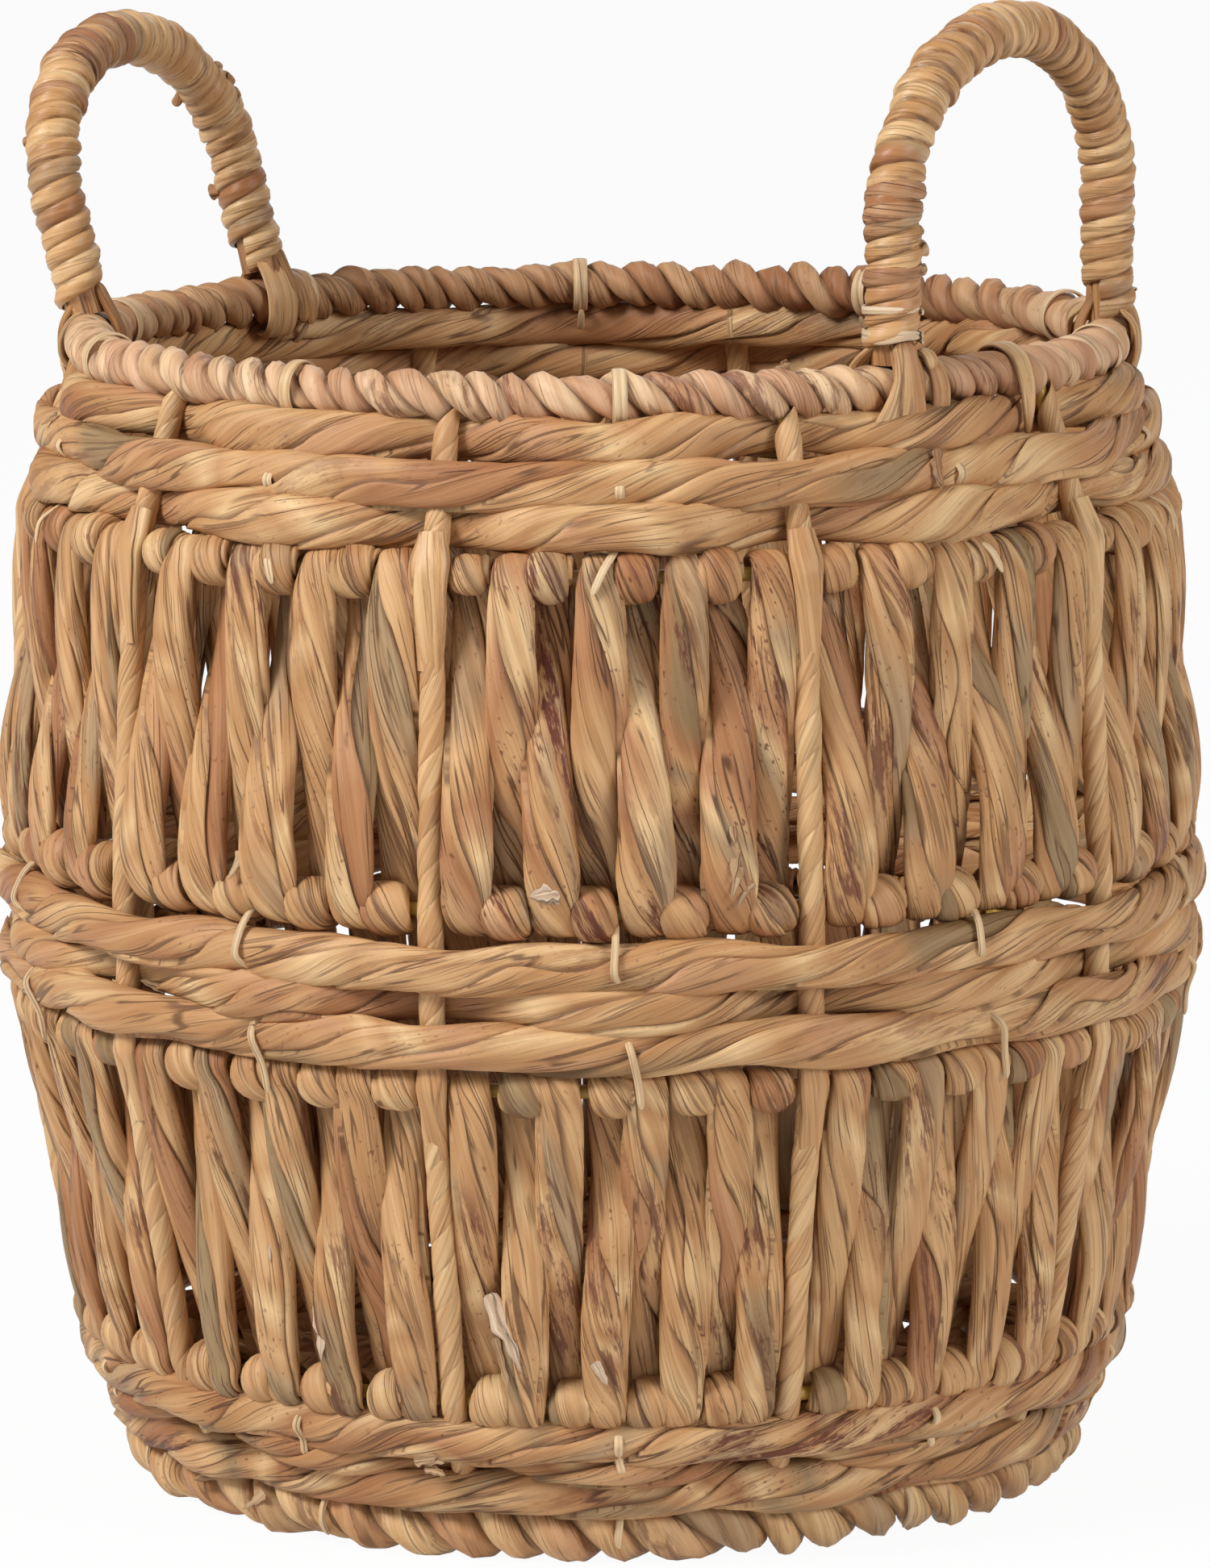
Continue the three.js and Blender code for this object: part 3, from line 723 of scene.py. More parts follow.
# %% [markdown]
# ## Bands
# Thick rope of three leaves is woven round the frame, one row in front of the uprights and the
# next behind them. It is squeezed where it passes an upright and swells between them. Rows press
# into each other, so the rope's outline may sink into its neighbour, as soft leaf does. The two
# ends of each rope meet under a cane tie or behind an upright.

# %% Rope rows
UPRIGHT_OUT = 3.1 * MM
UPRIGHT_R = 3.6 * MM
ROPE_TURNS = 9
ROPE_ROWS = 560
ROPE_THICK = 5.6 * MM
BANDS = (
    ("top_band", RIM[1] - 6.0 * MM, PANEL_TOP[1] + 7.0 * MM, (False, True, False)),
    ("middle_band", WAIST_TOP[1] - 9.2 * MM, WAIST_BOTTOM[1] + 7.2 * MM, (True, False, True)),
    ("bottom_band", PANEL_BOTTOM[1] - 6.2 * MM, BASE[1] + 8.0 * MM, (True, False, True)),
)
# Half width of a rope as a share of its row's height; the lowest rows in front are fatter
ROPE_HALF = 0.66
LOW_ROPE_HALF = 0.84
# Where a row's ends meet, in bays from the first upright: behind an upright, or under a tie
BACK_JOIN = 2.0
FRONT_JOIN = 2.5


def upright_radius(z):
    lift = [0] + [UPRIGHT_OUT] * (len(RINGS) - 2) + [0]
    rising = sorted((ring[1], ring[0] + extra) for ring, extra in zip(RINGS, lift))
    return np.interp(z, [point[0] for point in rising], [point[1] for point in rising])


def row_radius(z, near, in_front):
    """Middle of a row; near is 1 at an upright and 0 halfway between two."""
    midway = 1.2 * MM if in_front else 2.0 * MM
    at_upright = UPRIGHT_R + 1.1 * MM if in_front else -(WIRE_R + 3.2 * MM)
    return upright_radius(z) + midway + (at_upright - midway) * near


def add_rope(work, z, half, in_front, seed):
    rng = np.random.default_rng(seed)
    part = np.arange(ROPE_ROWS) / ROPE_ROWS
    angle = FIRST_UPRIGHT + (FRONT_JOIN if in_front else BACK_JOIN) * BAY + 2 * np.pi * part
    near = (0.5 + 0.5 * np.cos(BAYS * (angle - FIRST_UPRIGHT))) ** 1.6
    height = z + 0.8 * MM * waves(part, 14, rng)
    path = place(angle, row_radius(z, near, in_front) + 0.5 * MM * waves(part, 17, rng), height)
    length = float(np.sum(np.linalg.norm(path - np.roll(path, 1, axis=0), axis=-1)))
    squeeze = 1 - 0.42 * near
    swell = 1 + 0.11 * waves(part, 16, rng)
    thick = ROPE_THICK * squeeze * swell
    wide = half * swell * (1 - (0.06 if in_front else 0.2) * near)
    twist = 2 * np.pi * ROPE_TURNS * part + 0.5 * waves(part, 6, rng)
    points, values = strand(path, UP, wide, thick, twist, rng, columns=14, wander=0.35, lap=0.17,
                            bulge=0.08, unevenness=0.5, length=length)
    work.skin(points, values, closed=True, strips=5)


rope_rows = {}
for title, high, low, pattern in BANDS:
    pitch = (high - low) / len(pattern)
    lowest = title == "bottom_band"
    leaf = DAMP_ROPE_LEAF if lowest else ROPE_LEAF
    for row, in_front in enumerate(pattern):
        z = high - (row + 0.5) * pitch
        rope_rows[title, row] = (z, in_front)
        work = Leafwork()
        half = pitch * (LOW_ROPE_HALF if lowest and in_front else ROPE_HALF)
        add_rope(work, z, half, in_front, 31 * row + 1000 + len(title) * 7)
        work.piece(f"{title}_rope_{row + 1}", leaf, [f"{title}_row_{row + 1}"])

# %% [markdown]
# ## Rim and base
# Both end rings are hidden in two strips of leaf, wound round them side by side. On the rim the
# turns are even and small as beads, on the base they are fatter and less even, and the basket
# stands on them.

# %% Ring wraps
def add_ring_wrap(name, finish, node, ring, bands, core, height, seed, sway, crowding,
                  width):
    rng = np.random.default_rng(seed)
    route = ring_route(ring, sway, crowding, seed + 1)
    points, values, shift = wound(route, bands, core, height, rng, lump, ROUND_BAND, columns=44,
                                  closed=True, unevenness=0.26, width=width, fold=0.09)
    # the basket's weight presses the lowest turns flat on the floor
    points[..., 2] = np.maximum(points[..., 2], 0.0)
    work = Leafwork()
    work.skin(points, values, shift=shift, closed=True, strips=7)
    work.piece(name, finish, [node])


add_ring_wrap("rim_wrap_beads", RIM_LEAF, "rim_wrap", RIM, bands=90, core=3.5 * MM,
              height=3.3 * MM, seed=41, sway=0.5 * MM, crowding=2.6 * MM, width=9.3 * MM)
add_ring_wrap("base_wrap_lumps", BASE_LEAF, "base_wrap",
              (BASE[0], BASE[1] + 0.9 * MM), bands=56, core=4.4 * MM, height=4.7 * MM, seed=43,
              sway=0.7 * MM, crowding=4.2 * MM, width=13 * MM)

# %% [markdown]
# ## Uprights
# Pale glossy strip winds up every upright. Where it crosses a ring it fans out flat, because the
# strip there runs nearly straight up, over the wire.

# %% Upright strips
def upright_line(above=0.0, below=0.0):
    """Heights and radii along an upright, from below the base ring to above the rim."""
    z = np.linspace(BASE[1] - below, RIM[1] + above, 170)
    return z, upright_radius(z)


FAN_STEPS = 34
FAN_THICK = 2.1 * MM
# Height above and below a ring that a fan of leaf covers, and its widest half width
FANS = ((PANEL_TOP, 11 * MM, 24 * MM, 5.2 * MM), (WAIST_BOTTOM, 7 * MM, 18 * MM, 4.8 * MM))


def add_fan(work, angle, ring, high, low, most, rng):
    """A leaf of the strip that runs straight down over a ring, pointed at both ends."""
    part = np.linspace(0, 1, FAN_STEPS)
    z = ring[1] + high - (high + low) * part
    face = np.interp(part, (0, 0.25, 0.6, 1), (4.2 * MM, 5.2 * MM, 4.6 * MM, 3.4 * MM))
    r = upright_radius(z) + face - FAN_THICK
    path = place(angle + rng.normal(0, 0.4) * MM / ring[0], r, z)
    wide = np.interp(part, (0, 0.2, 0.5, 0.8, 1), (3.6 * MM, most, 0.8 * most, 3.5 * MM, 3.1 * MM))
    wide, thick = eased(np.stack([wide, np.full(FAN_STEPS, FAN_THICK)], axis=-1), 4).T
    skin, values = strand(path, around(angle), wide, thick, 0.9 * part, rng, leaves=2,
                          columns=18, lap=0.1, fold=0.012)
    work.skin(skin, values)


def add_upright(work, angle, seed):
    rng = np.random.default_rng(seed)
    z, r = upright_line(4 * MM, -2 * MM)
    part = np.linspace(0, 1, len(z))
    shapes = np.ones((len(z), 2)) * (1 + 0.07 * waves(part, 14, rng))[:, None]
    points = place(angle, r + 0.4 * MM, z)
    route = along_line(points, around(angle), shapes)
    skin, values, shift = wound(route, 30, 3.2 * MM, 0.3 * MM, rng, lapped, LAPPED_BAND,
                                columns=20, width=9 * MM, unevenness=0.4, fold=0.1, skew=-1.1)
    work.skin(skin, values, shift=shift, strips=4)
    for ring, high, low, most in FANS:
        add_fan(work, angle, ring, high, low, most * rng.uniform(0.85, 1.1), rng)


for bay in range(BAYS):
    work = Leafwork()
    add_upright(work, FIRST_UPRIGHT + bay * BAY, 500 + bay)
    work.piece(f"upright_strip_{bay + 1:02d}", UPRIGHT_LEAF,
               [f"upright_wrap_{bay + 1:02d}"])

# %% [markdown]
# ## Handles
# Two hoops of stiff core, wound with a flat strip that laps over itself. The winding stops above
# the rim. There the core's ribs split and straddle the rim, two inside and two outside.

# %% Hoops
# Feet in steps of 9 degrees from the first upright, height of the hoop and of its straight legs
# over the rim wire, lean in degrees, and where the winding stops above the wire on each leg
HOOPS = {
    "left": dict(feet=(14.5, 19.5), rise=78 * MM, leg=38 * MM, lean=14,
                 low_ends=(8.2 * MM, 6.2 * MM)),
    "right": dict(feet=(-6.5, -0.5), rise=88.5 * MM, leg=42 * MM, lean=0,
                  low_ends=(5.8 * MM, 5.0 * MM)),
}
# Bands of strip, the seed, and browner turns: begin and end along the hoop, and their number
HANDLE_STRIPS = {"left": (39, 71, ((0.50, 0.555, 1), (0.575, 0.665, 3), (0.69, 0.73, 1))),
                 "right": (42, 72, ((0.14, 0.20, 2), (0.075, 0.115, 1)))}
HANDLE_CORE = 5.9 * MM
RIBS_CORE = 5.4 * MM
STRIP_THICK = 1.7 * MM
HOOP_STEPS = 160


def hoop(feet, rise, leg, lean, low_ends):
    """Points up one leg, over the arch and down the other."""
    ends = [place(FIRST_UPRIGHT + f * FOOT_STEP, RIM[0], RIM[1]) for f in feet]
    middle = (ends[0] + ends[1]) / 2
    across = unit(ends[1] - ends[0])
    away = np.cross(across, UP)
    half = np.linalg.norm(ends[1] - ends[0]) / 2
    t = np.linspace(0, np.pi, 90)
    y = np.concatenate([np.full(20, -half), -half * np.cos(t), np.full(20, half)])
    h = np.concatenate([np.linspace(low_ends[0], leg, 21)[:-1], leg + (rise - leg) * np.sin(t),
                        np.linspace(leg, low_ends[1], 21)[1:]])
    lean = math.tan(lean * DEG)
    points = middle + across * y[:, None] + (away * lean + UP) * h[:, None]
    return points, away


def add_turns(work, route, bands, core, rng, starts=2, unevenness=0.3, strips=6):
    skin, values, shift = wound(route, bands, core, STRIP_THICK, rng, pillow, ROUND_BAND,
                                starts=starts, columns=36, unevenness=unevenness, fold=0.07,
                                skew=0.2)
    work.skin(skin, values, shift=shift, strips=strips)


def add_handle(work, core_work, title, seed):
    """The wound strip and the ribs in it. Gives the route, for what is wound over it."""
    rng = np.random.default_rng(seed)
    points, away = hoop(**HOOPS[title])
    run = run_along(points)
    even = np.linspace(0, 1, HOOP_STEPS)
    points = between(even, run / run[-1], points)
    shapes = np.ones((HOOP_STEPS, 2)) * (1 + 0.03 * waves(even, 5, rng))[:, None]
    route = along_line(points, away, shapes)
    add_turns(work, route, HANDLE_STRIPS[title][0], HANDLE_CORE, rng)
    core = np.full(HOOP_STEPS, RIBS_CORE)
    core_skin, core_values = strand(points, away, core, core, 3 * even, rng, leaves=5, columns=5)
    core_work.skin(core_skin, core_values, strips=6)
    return route


def add_brown_turns(work, whole_route, turns, seed):
    """A browner strip over the first one."""
    rng = np.random.default_rng(seed)
    for begin, end, count in turns:
        def route(t):
            return whole_route(begin + (end - begin) * t)

        add_turns(work, route, count, HANDLE_CORE + 0.5 * MM, rng, starts=1, unevenness=0.2,
                  strips=1)


brown_work = Leafwork()
for title, (bands, seed, brown_turns) in HANDLE_STRIPS.items():
    work = Leafwork()
    core_work = Leafwork()
    route = add_handle(work, core_work, title, seed)
    add_brown_turns(brown_work, route, brown_turns, seed + 5)
    work.piece(f"{title}_handle_strip", HANDLE_LEAF, [f"{title}_handle_wrap"])
    core_work.piece(f"{title}_handle_ribs", STIFF_LEAF, [f"{title}_handle_core"])
brown_work.piece("handle_brown_turns", BROWN_LEAF)

# %% [markdown]
# ## Wire frame
# The wire shows only in small gaps, as a yellow glint. Its painted rings are rounder here than in
# the CAD part, but they lie in the same place.

# %% Painted wire
def paint_finish():
    finish, start, shader = new_finish("yellow_wire_paint")
    where = start.node("TexCoord", out="Object")
    mottle = start.node("TexNoise", sockets={"Vector": where, "Scale": 260.0, "Detail": 3.0})
    worn = start.node("TexNoise", sockets={"Vector": where, "Scale": 60.0, "Detail": 5.0})
    colour = mottle.rise(0.35, 0.65).mix(tone(176, 136, 52), tone(204, 168, 82))
    colour = (worn.rise(0.60, 0.70) * 0.6).mix(colour, tone(120, 84, 40))
    colour.to(shader.inputs["Base Color"])
    (mottle * 0.2 + 0.28).to(shader.inputs["Roughness"])
    return finish


def plain_tube(work, path, side, closed, sides=12):
    side, out = section_axes(path, side, closed)
    psi = 2 * np.pi * np.arange(sides) / sides
    points = path[:, None] + WIRE_R * (side[:, None] * np.cos(psi)[:, None]
                                       + out[:, None] * np.sin(psi)[:, None])
    values = np.zeros((len(path) if closed else len(path) - 1, sides, 4, 4))
    work.skin(points, values, closed=closed)


WIRE_PAINT = paint_finish()
wire_work = Leafwork()
turn = np.arange(240) / 240 * 2 * np.pi
for r, z in RINGS:
    plain_tube(wire_work, place(turn, r, z), UP, True)
for bay in range(BAYS):
    z, r = upright_line()
    angle = FIRST_UPRIGHT + bay * BAY
    plain_tube(wire_work, place(angle, r, z), around(angle), False)
for i in range(2):
    angle = FIRST_UPRIGHT + BAY / 4 + i * np.pi / 2
    plain_tube(wire_work, place(angle, np.linspace(-BASE[0], BASE[0], 30), BASE[1]), UP, False)
wire_work.piece("yellow_wire_frame", WIRE_PAINT, ["wire_frame"])

# %% [markdown]
# ## Floor
# The photograph hides the floor. Such baskets have a mat of flat rope, woven over and under, on
# the floor wires. It is modelled so that the basket isn't empty from above.

# %% Woven floor
MAT_R = 121 * MM
MAT_PITCH = 12.5 * MM
MAT_Z = BASE[1] + 4.6 * MM


def add_mat(work):
    count = int(MAT_R / MAT_PITCH)
    for way in range(2):
        for i in range(-count, count + 1):
            rng = np.random.default_rng(900 + 100 * way + i)
            offset = i * MAT_PITCH
            reach = math.sqrt(MAT_R ** 2 - offset ** 2)
            x = np.linspace(-reach, reach, max(20, int(reach / (1.2 * MM))))
            wave = np.cos(np.pi * (x / MAT_PITCH + i + way)) * 1.3 * MM
            path = np.stack([x, np.full(len(x), offset), MAT_Z + wave], axis=-1)
            side = np.array([0.0, 1.0, 0.0])
            if way:
                path, side = path[:, [1, 0, 2]], side[[1, 0, 2]]
            ends = taper(len(x), 3)
            skin, values = strand(path, side, 5.6 * MM * ends, 1.3 * MM * ends,
                                  0 * x + rng.uniform(0, 6), rng, leaves=2, columns=7)
            work.skin(skin, values)


mat_work = Leafwork()
add_mat(mat_work)
mat_work.piece("woven_floor_mat", ROPE_LEAF, ["floor_mat"])

# %% [markdown]
# ## Feet of the handles
# Where a hoop stands on the rim, four stiff ribs of its core straddle the rim wrap, two inside and
# two outside. Leaf straps bind them: each foot was tied by hand, so each is different. All of them
# are flat ribbons laid round the rim, so I give only the points that they pass, measured from the
# rim wire outwards and up.

# %% Ribbons
def ribbon(work, points, side, half_widths, half_thick, rng, twist=0.5, ends=3):
    """A flat leaf along points, with rounded corners. half_widths are its widths on the way."""
    run = run_along(points)
    even = np.linspace(0, run[-1], max(12, int(run[-1] / MM)))
    path = eased(between(even, run, np.asarray(points)), 5)
    part = np.linspace(0, 1, len(path))
    wide = np.interp(part, np.linspace(0, 1, len(half_widths)), half_widths)
    ends = taper(len(path), ends)
    skin, values = strand(path, side, wide * ends, half_thick * ends, twist * part, rng, leaves=2,
                          columns=9, lap=0.1, wander=0.15, fold=0.012)
    work.skin(skin, values, strips=2)


def on_rim(angle, *stations):
    """Points round the rim. Each station is out and up from the wire and along the rim, in mm."""
    return [place(angle + along * MM / RIM[0], RIM[0] + out * MM, RIM[1] + up * MM)
            for out, up, along in stations]


# %% Feet
# Stations of the outer rib, for on_rim(), with each along as a share of RIB_SHIFT
RIB = ((1.5, 16, 0.6), (4.6, 9.5, 1), (7.6, 4, 1.3), (8.0, -3, 1.4), (4.6, -8.5, 1.2))
RIB_SHIFT = 1.9


def add_ribs(work, angle, rng):
    """Two ribs outside the rim wrap, and two inside it."""
    for sense in (-1, 1):
        for shift in (-RIB_SHIFT, RIB_SHIFT):
            way = on_rim(angle, *((sense * out, up, shift * along) for out, up, along in RIB))
            ribbon(work, way, around(angle), (2.0 * MM, 2.2 * MM, 1.7 * MM), 1.3 * MM, rng)


# Each strap: its points (out, up and along, in mm) and its half widths along the way, in mm
STRAPS = {
    "left_1": (
        ([(0, 13, 1), (-5.5, 9, 2), (-8.8, 2, 2), (-8.8, -5, 2), (-5, -10, 1), (1, -9, 0)],
         (5.2, 5.4, 5.0)),
        ([(5, 9, -5), (0, 8, -5.5), (-6, 6, -6), (-8, 0, -7), (-6.5, -7, -8)], (2.2, 3.0, 2.4)),
        ([(7, 3, -9), (3, 7.6, -9), (-4, 7, -9.5), (-8, 0, -10), (-6, -8, -11)],
         (1.8, 2.4, 2.0)),
    ),
    "left_2": (
        ([(0, 9, 1), (-5, 8, -3), (-8.4, 3, -7), (-8, -4, -10), (-4.5, -8.5, -12)],
         (2.4, 3.2, 2.2)),
        ([(1, 8, 6), (5, 6, 6.5), (7.9, 1, 7), (7.6, -5, 7.5), (3, -9, 8)], (2.4, 3.0, 2.2)),
        ([(6.5, 2, 1), (8.0, -3, 2), (7.0, -9, 4), (3, -13, 6)], (2.6, 3.0, 2.2)),
    ),
    "right_1": (
        ([(5.0, 13, -0.5), (6.4, 9.5, -0.5), (8.6, 3, -1), (9.2, -4, -2), (7.2, -10, -3),
          (2, -12, -4)], (3.6, 3.6, 4.4, 6.6, 8.2, 7.8)),
        ([(0, 8.5, 8.5), (6, 6, 9), (8.4, 0, 9.5), (7.4, -7, 10), (2, -10.5, 11)],
         (2.2, 2.8, 2.6)),
        ([(0, 12, -3), (-3, 9, -6), (-6.5, 5, -8), (-7.8, -2, -9), (-4, -8, -9)],
         (1.8, 2.2, 2.0)),
        ([(2, 9, 6), (5, 9.5, 7), (7.5, 6, 7.5), (6, 4, 7)], (1.6, 2.2, 1.6)),
    ),
    "right_2": (
        ([(8, 13, 1), (3, 12, 6), (-3, 9.5, 14), (-7.6, 4, 24), (-7.4, -3, 31), (-4, -8, 34)],
         (2.8, 3.6, 3.8, 3.4, 2.4)),
        ([(5, 11, 4), (8.0, 6, 4), (8.8, -1, 4), (7.2, -9, 4), (3, -12, 4)], (1.8, 2.2, 1.8)),
        ([(4, 10, -1), (8.2, 5, -1.5), (8.8, -3, -2), (6.2, -11, -2)], (1.8, 2.2, 1.8)),
        ([(3, 9, -6), (7.8, 5, -6.5), (8.4, -2, -7), (6, -10, -8)], (1.6, 2.0, 1.6)),
    ),
}
for title, spec in HOOPS.items():
    ribs = Leafwork()
    for number, foot in enumerate(spec["feet"]):
        rng = np.random.default_rng(600 + 10 * len(title) + number)
        angle = FIRST_UPRIGHT + foot * FOOT_STEP
        add_ribs(ribs, angle, rng)
        work = Leafwork()
        for way, widths in STRAPS[f"{title}_{number + 1}"]:
            ribbon(work, on_rim(angle, *way), around(angle), np.array(widths) * MM, 0.9 * MM,
                   rng)
        work.piece(f"{title}_strap_{number + 1}", HANDLE_LEAF,
                   [f"{title}_foot_strap_{number + 1}"])
    ribs.piece(f"{title}_foot_ribs", STIFF_LEAF)

# %% Leaf over the rim
# One spare end of leaf goes over the rim beside the right handle and tapers to a point below it
wrap_work = Leafwork()
SPARE_END = ((-6, -5, 0), (-7.6, 1, 0), (-5, 7, 0), (1, 8.6, 0), (7, 5.5, 0), (9, -1, 0.5),
             (8.4, -9, 2), (6, -17, 4))
SPARE_HALF = (2.8, 3.4, 3.9, 3.9, 3.4, 2.2, 0.6)
spare_at = -15.5 * DEG
ribbon(wrap_work, on_rim(spare_at, *SPARE_END), around(spare_at),
       np.array(SPARE_HALF) * MM, 0.7 * MM, np.random.default_rng(640))
wrap_work.piece("spare_leaf_over_rim", HANDLE_LEAF)

# %% [markdown]
# ## Cords and ties
# Ten lines of pale cane hold the bands together, halfway between the uprights. Each is looped over
# the rim, then goes in and out between the rows down to the base. The right handle has three turns
# of whitish cord round its front leg, two of them close together.

# %% Cane ties
TIE_FLAT = 2.0 * MM
TIE_THIN = 1.0 * MM
TIE_LOOP_R = 7.5 * MM
FIRST_TIE = 9 * DEG


def add_tie(work, angle, seed):
    """A loop over the rim, and a length over each of the three bands. Where it passes is given
    in mm: out and up from a ring, or out from the middle of a rope row."""
    rng = np.random.default_rng(seed)
    side = around(angle)
    lean = rng.normal(0, 0.6, 6) * MM / RIM[0]

    def ring(at, out, up, shift=0.0):
        return place(angle + shift, at[0] + out * MM, at[1] + up * MM)

    def row(band, number, out, shift=0.0, up=0.0):
        z, in_front = rope_rows[band + "_band", number]
        return place(angle + shift, row_radius(z, 0, in_front) + out * MM, z + up * MM)

    def gap(band, number):
        return (row(band, number, 0) + row(band, number + 1, 0)) / 2

    phi = np.linspace(-80 * DEG, 285 * DEG, 40)
    loop = place(angle + lean[0], RIM[0] + TIE_LOOP_R * np.cos(phi),
                 RIM[1] + TIE_LOOP_R * np.sin(phi))
    ribbon(work, loop, side, (TIE_FLAT, TIE_FLAT), 0.45 * MM, rng)
    top = [ring(RIM, -5, -6), row("top", 0, -7.3), gap("top", 0), row("top", 1, 7.4),
           gap("top", 1), row("top", 2, -7.3, lean[1]), ring(PANEL_TOP, 2, 6.5, lean[2]),
           ring(PANEL_TOP, 8.5, 3, 3 * lean[2]), ring(PANEL_TOP, 9.4, -4, 5 * lean[2])]
    ribbon(work, top, side, (TIE_THIN, 1.5 * TIE_THIN, TIE_THIN), 0.5 * MM, rng)
    slip = rng.uniform(1.5, 4.5) * MM / WAIST_TOP[0]
    middle = [ring(WAIST_TOP, -3, 2, -slip), ring(WAIST_TOP, 8, -6, -slip),
              row("middle", 0, 7.6, -1.4 * slip), gap("middle", 0), row("middle", 1, -7.3),
              gap("middle", 1), row("middle", 2, 7.6, slip),
              ring(WAIST_BOTTOM, 8.6, 4, 2 * slip), ring(WAIST_BOTTOM, 8, -4, 2.5 * slip)]
    ribbon(work, middle, side, (TIE_THIN, TIE_THIN), 0.75 * MM, rng)
    low = [ring(PANEL_BOTTOM, -2, -3, lean[3]), row("bottom", 0, 7.4, lean[3]),
           row("bottom", 0, 2.0, lean[3], -5), row("bottom", 1, 7.2), row("bottom", 2, -6.6),
           ring(BASE, 1, 9.4), ring(BASE, 9.0, 5, lean[4]), ring(BASE, 9.3, -1, 3 * lean[4]),
           ring(BASE, 5, -6, 4 * lean[4])]
    ribbon(work, low, side, (1.2 * TIE_THIN, TIE_THIN), 0.6 * MM, rng)


for line in range(BAYS):
    work = Leafwork()
    add_tie(work, FIRST_TIE + line * BAY, 700 + line)
    work.piece(f"cane_tie_{line + 1:02d}", CANE)

# %% Whitish cord
CORD_R = 7.9 * MM
CORD_HEIGHTS = (12, 13.2, 19.5)


def add_cord(work, middle, rng):
    """One turn of cord round a leg."""
    turn = np.linspace(0, 2 * np.pi, 60)
    wave = 0.5 * MM * waves(turn / (2 * np.pi), 3, rng)
    loop = middle + CORD_R * outward(turn) + UP * (wave + 0.6 * MM * turn / np.pi)[:, None]
    ribbon(work, loop, UP, (0.9 * MM, 1.3 * MM, 0.9 * MM), 0.5 * MM, rng)


cord_work = Leafwork()
leg = place(FIRST_UPRIGHT + HOOPS["right"]["feet"][0] * FOOT_STEP, RIM[0], RIM[1])
for number, height in enumerate(CORD_HEIGHTS):
    add_cord(cord_work, leg + UP * height * MM, np.random.default_rng(650 + number))
cord_work.piece("handle_cord", CORD)

# %% [markdown]
# ## Torn bits
# Dried leaf tears. Short ends stick out of the knots, and scraps curl off the strands. Each is a
# thin ribbon that starts on the basket and bends away from it.

# %% Scraps and ends
# Angle in degrees, radius and height in mm, heading in degrees (0 along the basket, 90 up),
# length, half width and how far it curls out, in mm
SCRAPS = (
    (-52.5, 165.4, 204, 262, 16, 3.2, 4), (-51.8, 165.2, 196, 248, 13, 2.8, 3),
    (-53.3, 164.4, 210, 275, 12, 2.4, 4), (-51.0, 165, 189, 230, 9, 2.2, 4),
    (-76, 149.2, 66, 285, 16, 2.2, 2), (-29.7, 154, 297, 262, 11, 2.6, 4),
    (-30.7, 154.6, 294, 280, 9, 1.8, 3), (-138.5, 152.8, 297, 215, 7, 1.6, 4),
    (-85.5, 144.6, 29, 20, 9, 3.0, 2), (-84.5, 143.8, 28, -10, 8, 2.4, 3),
    (-84, 145.2, 30, 5, 7, 1.8, 4), (-46, 139, 316, 40, 6, 2.2, 3),
    (-45, 139, 316, 80, 5, 2.4, 2), (-44, 138, 316, 120, 5, 2.2, 3),
    (-43, 140, 315, 20, 6, 2.2, 3), (-44.5, 142, 315, -10, 6, 2.4, 2),
    (-83, 157, 268, 265, 12, 2.0, 1), (-80.5, 158, 128, 180, 7, 1.8, 1),
    (-112, 158, 150, 160, 9, 2.2, 3), (-20, 160, 236, 255, 10, 2.0, 3),
    (-24, 160, 228, 240, 8, 1.8, 3), (-58, 158, 262, 275, 10, 1.2, 2),
    (-100, 163.6, 193, 250, 9, 2.2, 3), (-116, 134, 14, 200, 10, 2.4, 3),
    (-108, 134, 12, 220, 9, 2.0, 3), (30, 164, 190, 210, 9, 2.4, 2),
    (75, 158, 262, 250, 10, 2.0, 2), (110, 145.6, 60, 280, 14, 2.4, 2),
    (150, 165.4, 160, 170, 9, 2.0, 3), (170, 145.4, 33, 10, 9, 2.2, 3),
    (-170, 161.8, 220, 260, 11, 2.0, 2),
)
# Spots where the pale inner side of a leaf shows, in the same terms
PALE_SPOTS = (
    (-76.5, 150.5, 78, 293, 24, 4.6, 1), (-95, 149.5, 72, 272, 17, 3.6, 1),
    (-68.5, 165.2, 187, 190, 9, 4.4, 0.5), (-101, 152.4, 92, 285, 12, 2.0, 1),
    (-66, 150.4, 60, 300, 8, 2.4, 1),
)
# Half widths along a torn bit, as shares of its widest
RAGGED = np.array([0.8, 1.0, 0.7, 0.9, 0.5, 0.6, 0.25, 0.05])


def add_scrap(work, spec, seed):
    angle, r, z, heading, length, half, curl = spec
    rng = np.random.default_rng(seed)
    here, heading = angle * DEG, heading * DEG
    way = around(here) * math.cos(heading) + UP * math.sin(heading)
    part = np.linspace(0, 1, 12)
    bend = curl * (part ** 2 - 0.3) + rng.normal(0, 0.25, 12)
    line = (place(here, r * MM, z * MM) + way * (part * length * MM)[:, None]
            + outward(here) * (bend * MM)[:, None])
    ragged = 0.75 * (half * MM * RAGGED) * rng.uniform(0.6, 1.2, 8)
    ribbon(work, line, np.cross(way, outward(here)), ragged, 0.14 * MM, rng,
           twist=rng.uniform(-1.2, 1.2), ends=1)


for name, specs, finish, seed in (("torn_leaf_bits", SCRAPS, TORN_LEAF, 800),
                                  ("pale_leaf_spots", PALE_SPOTS, PALE_LEAF, 840)):
    work = Leafwork()
    for number, spec in enumerate(specs):
        add_scrap(work, spec, seed + number)
    work.piece(name, finish)

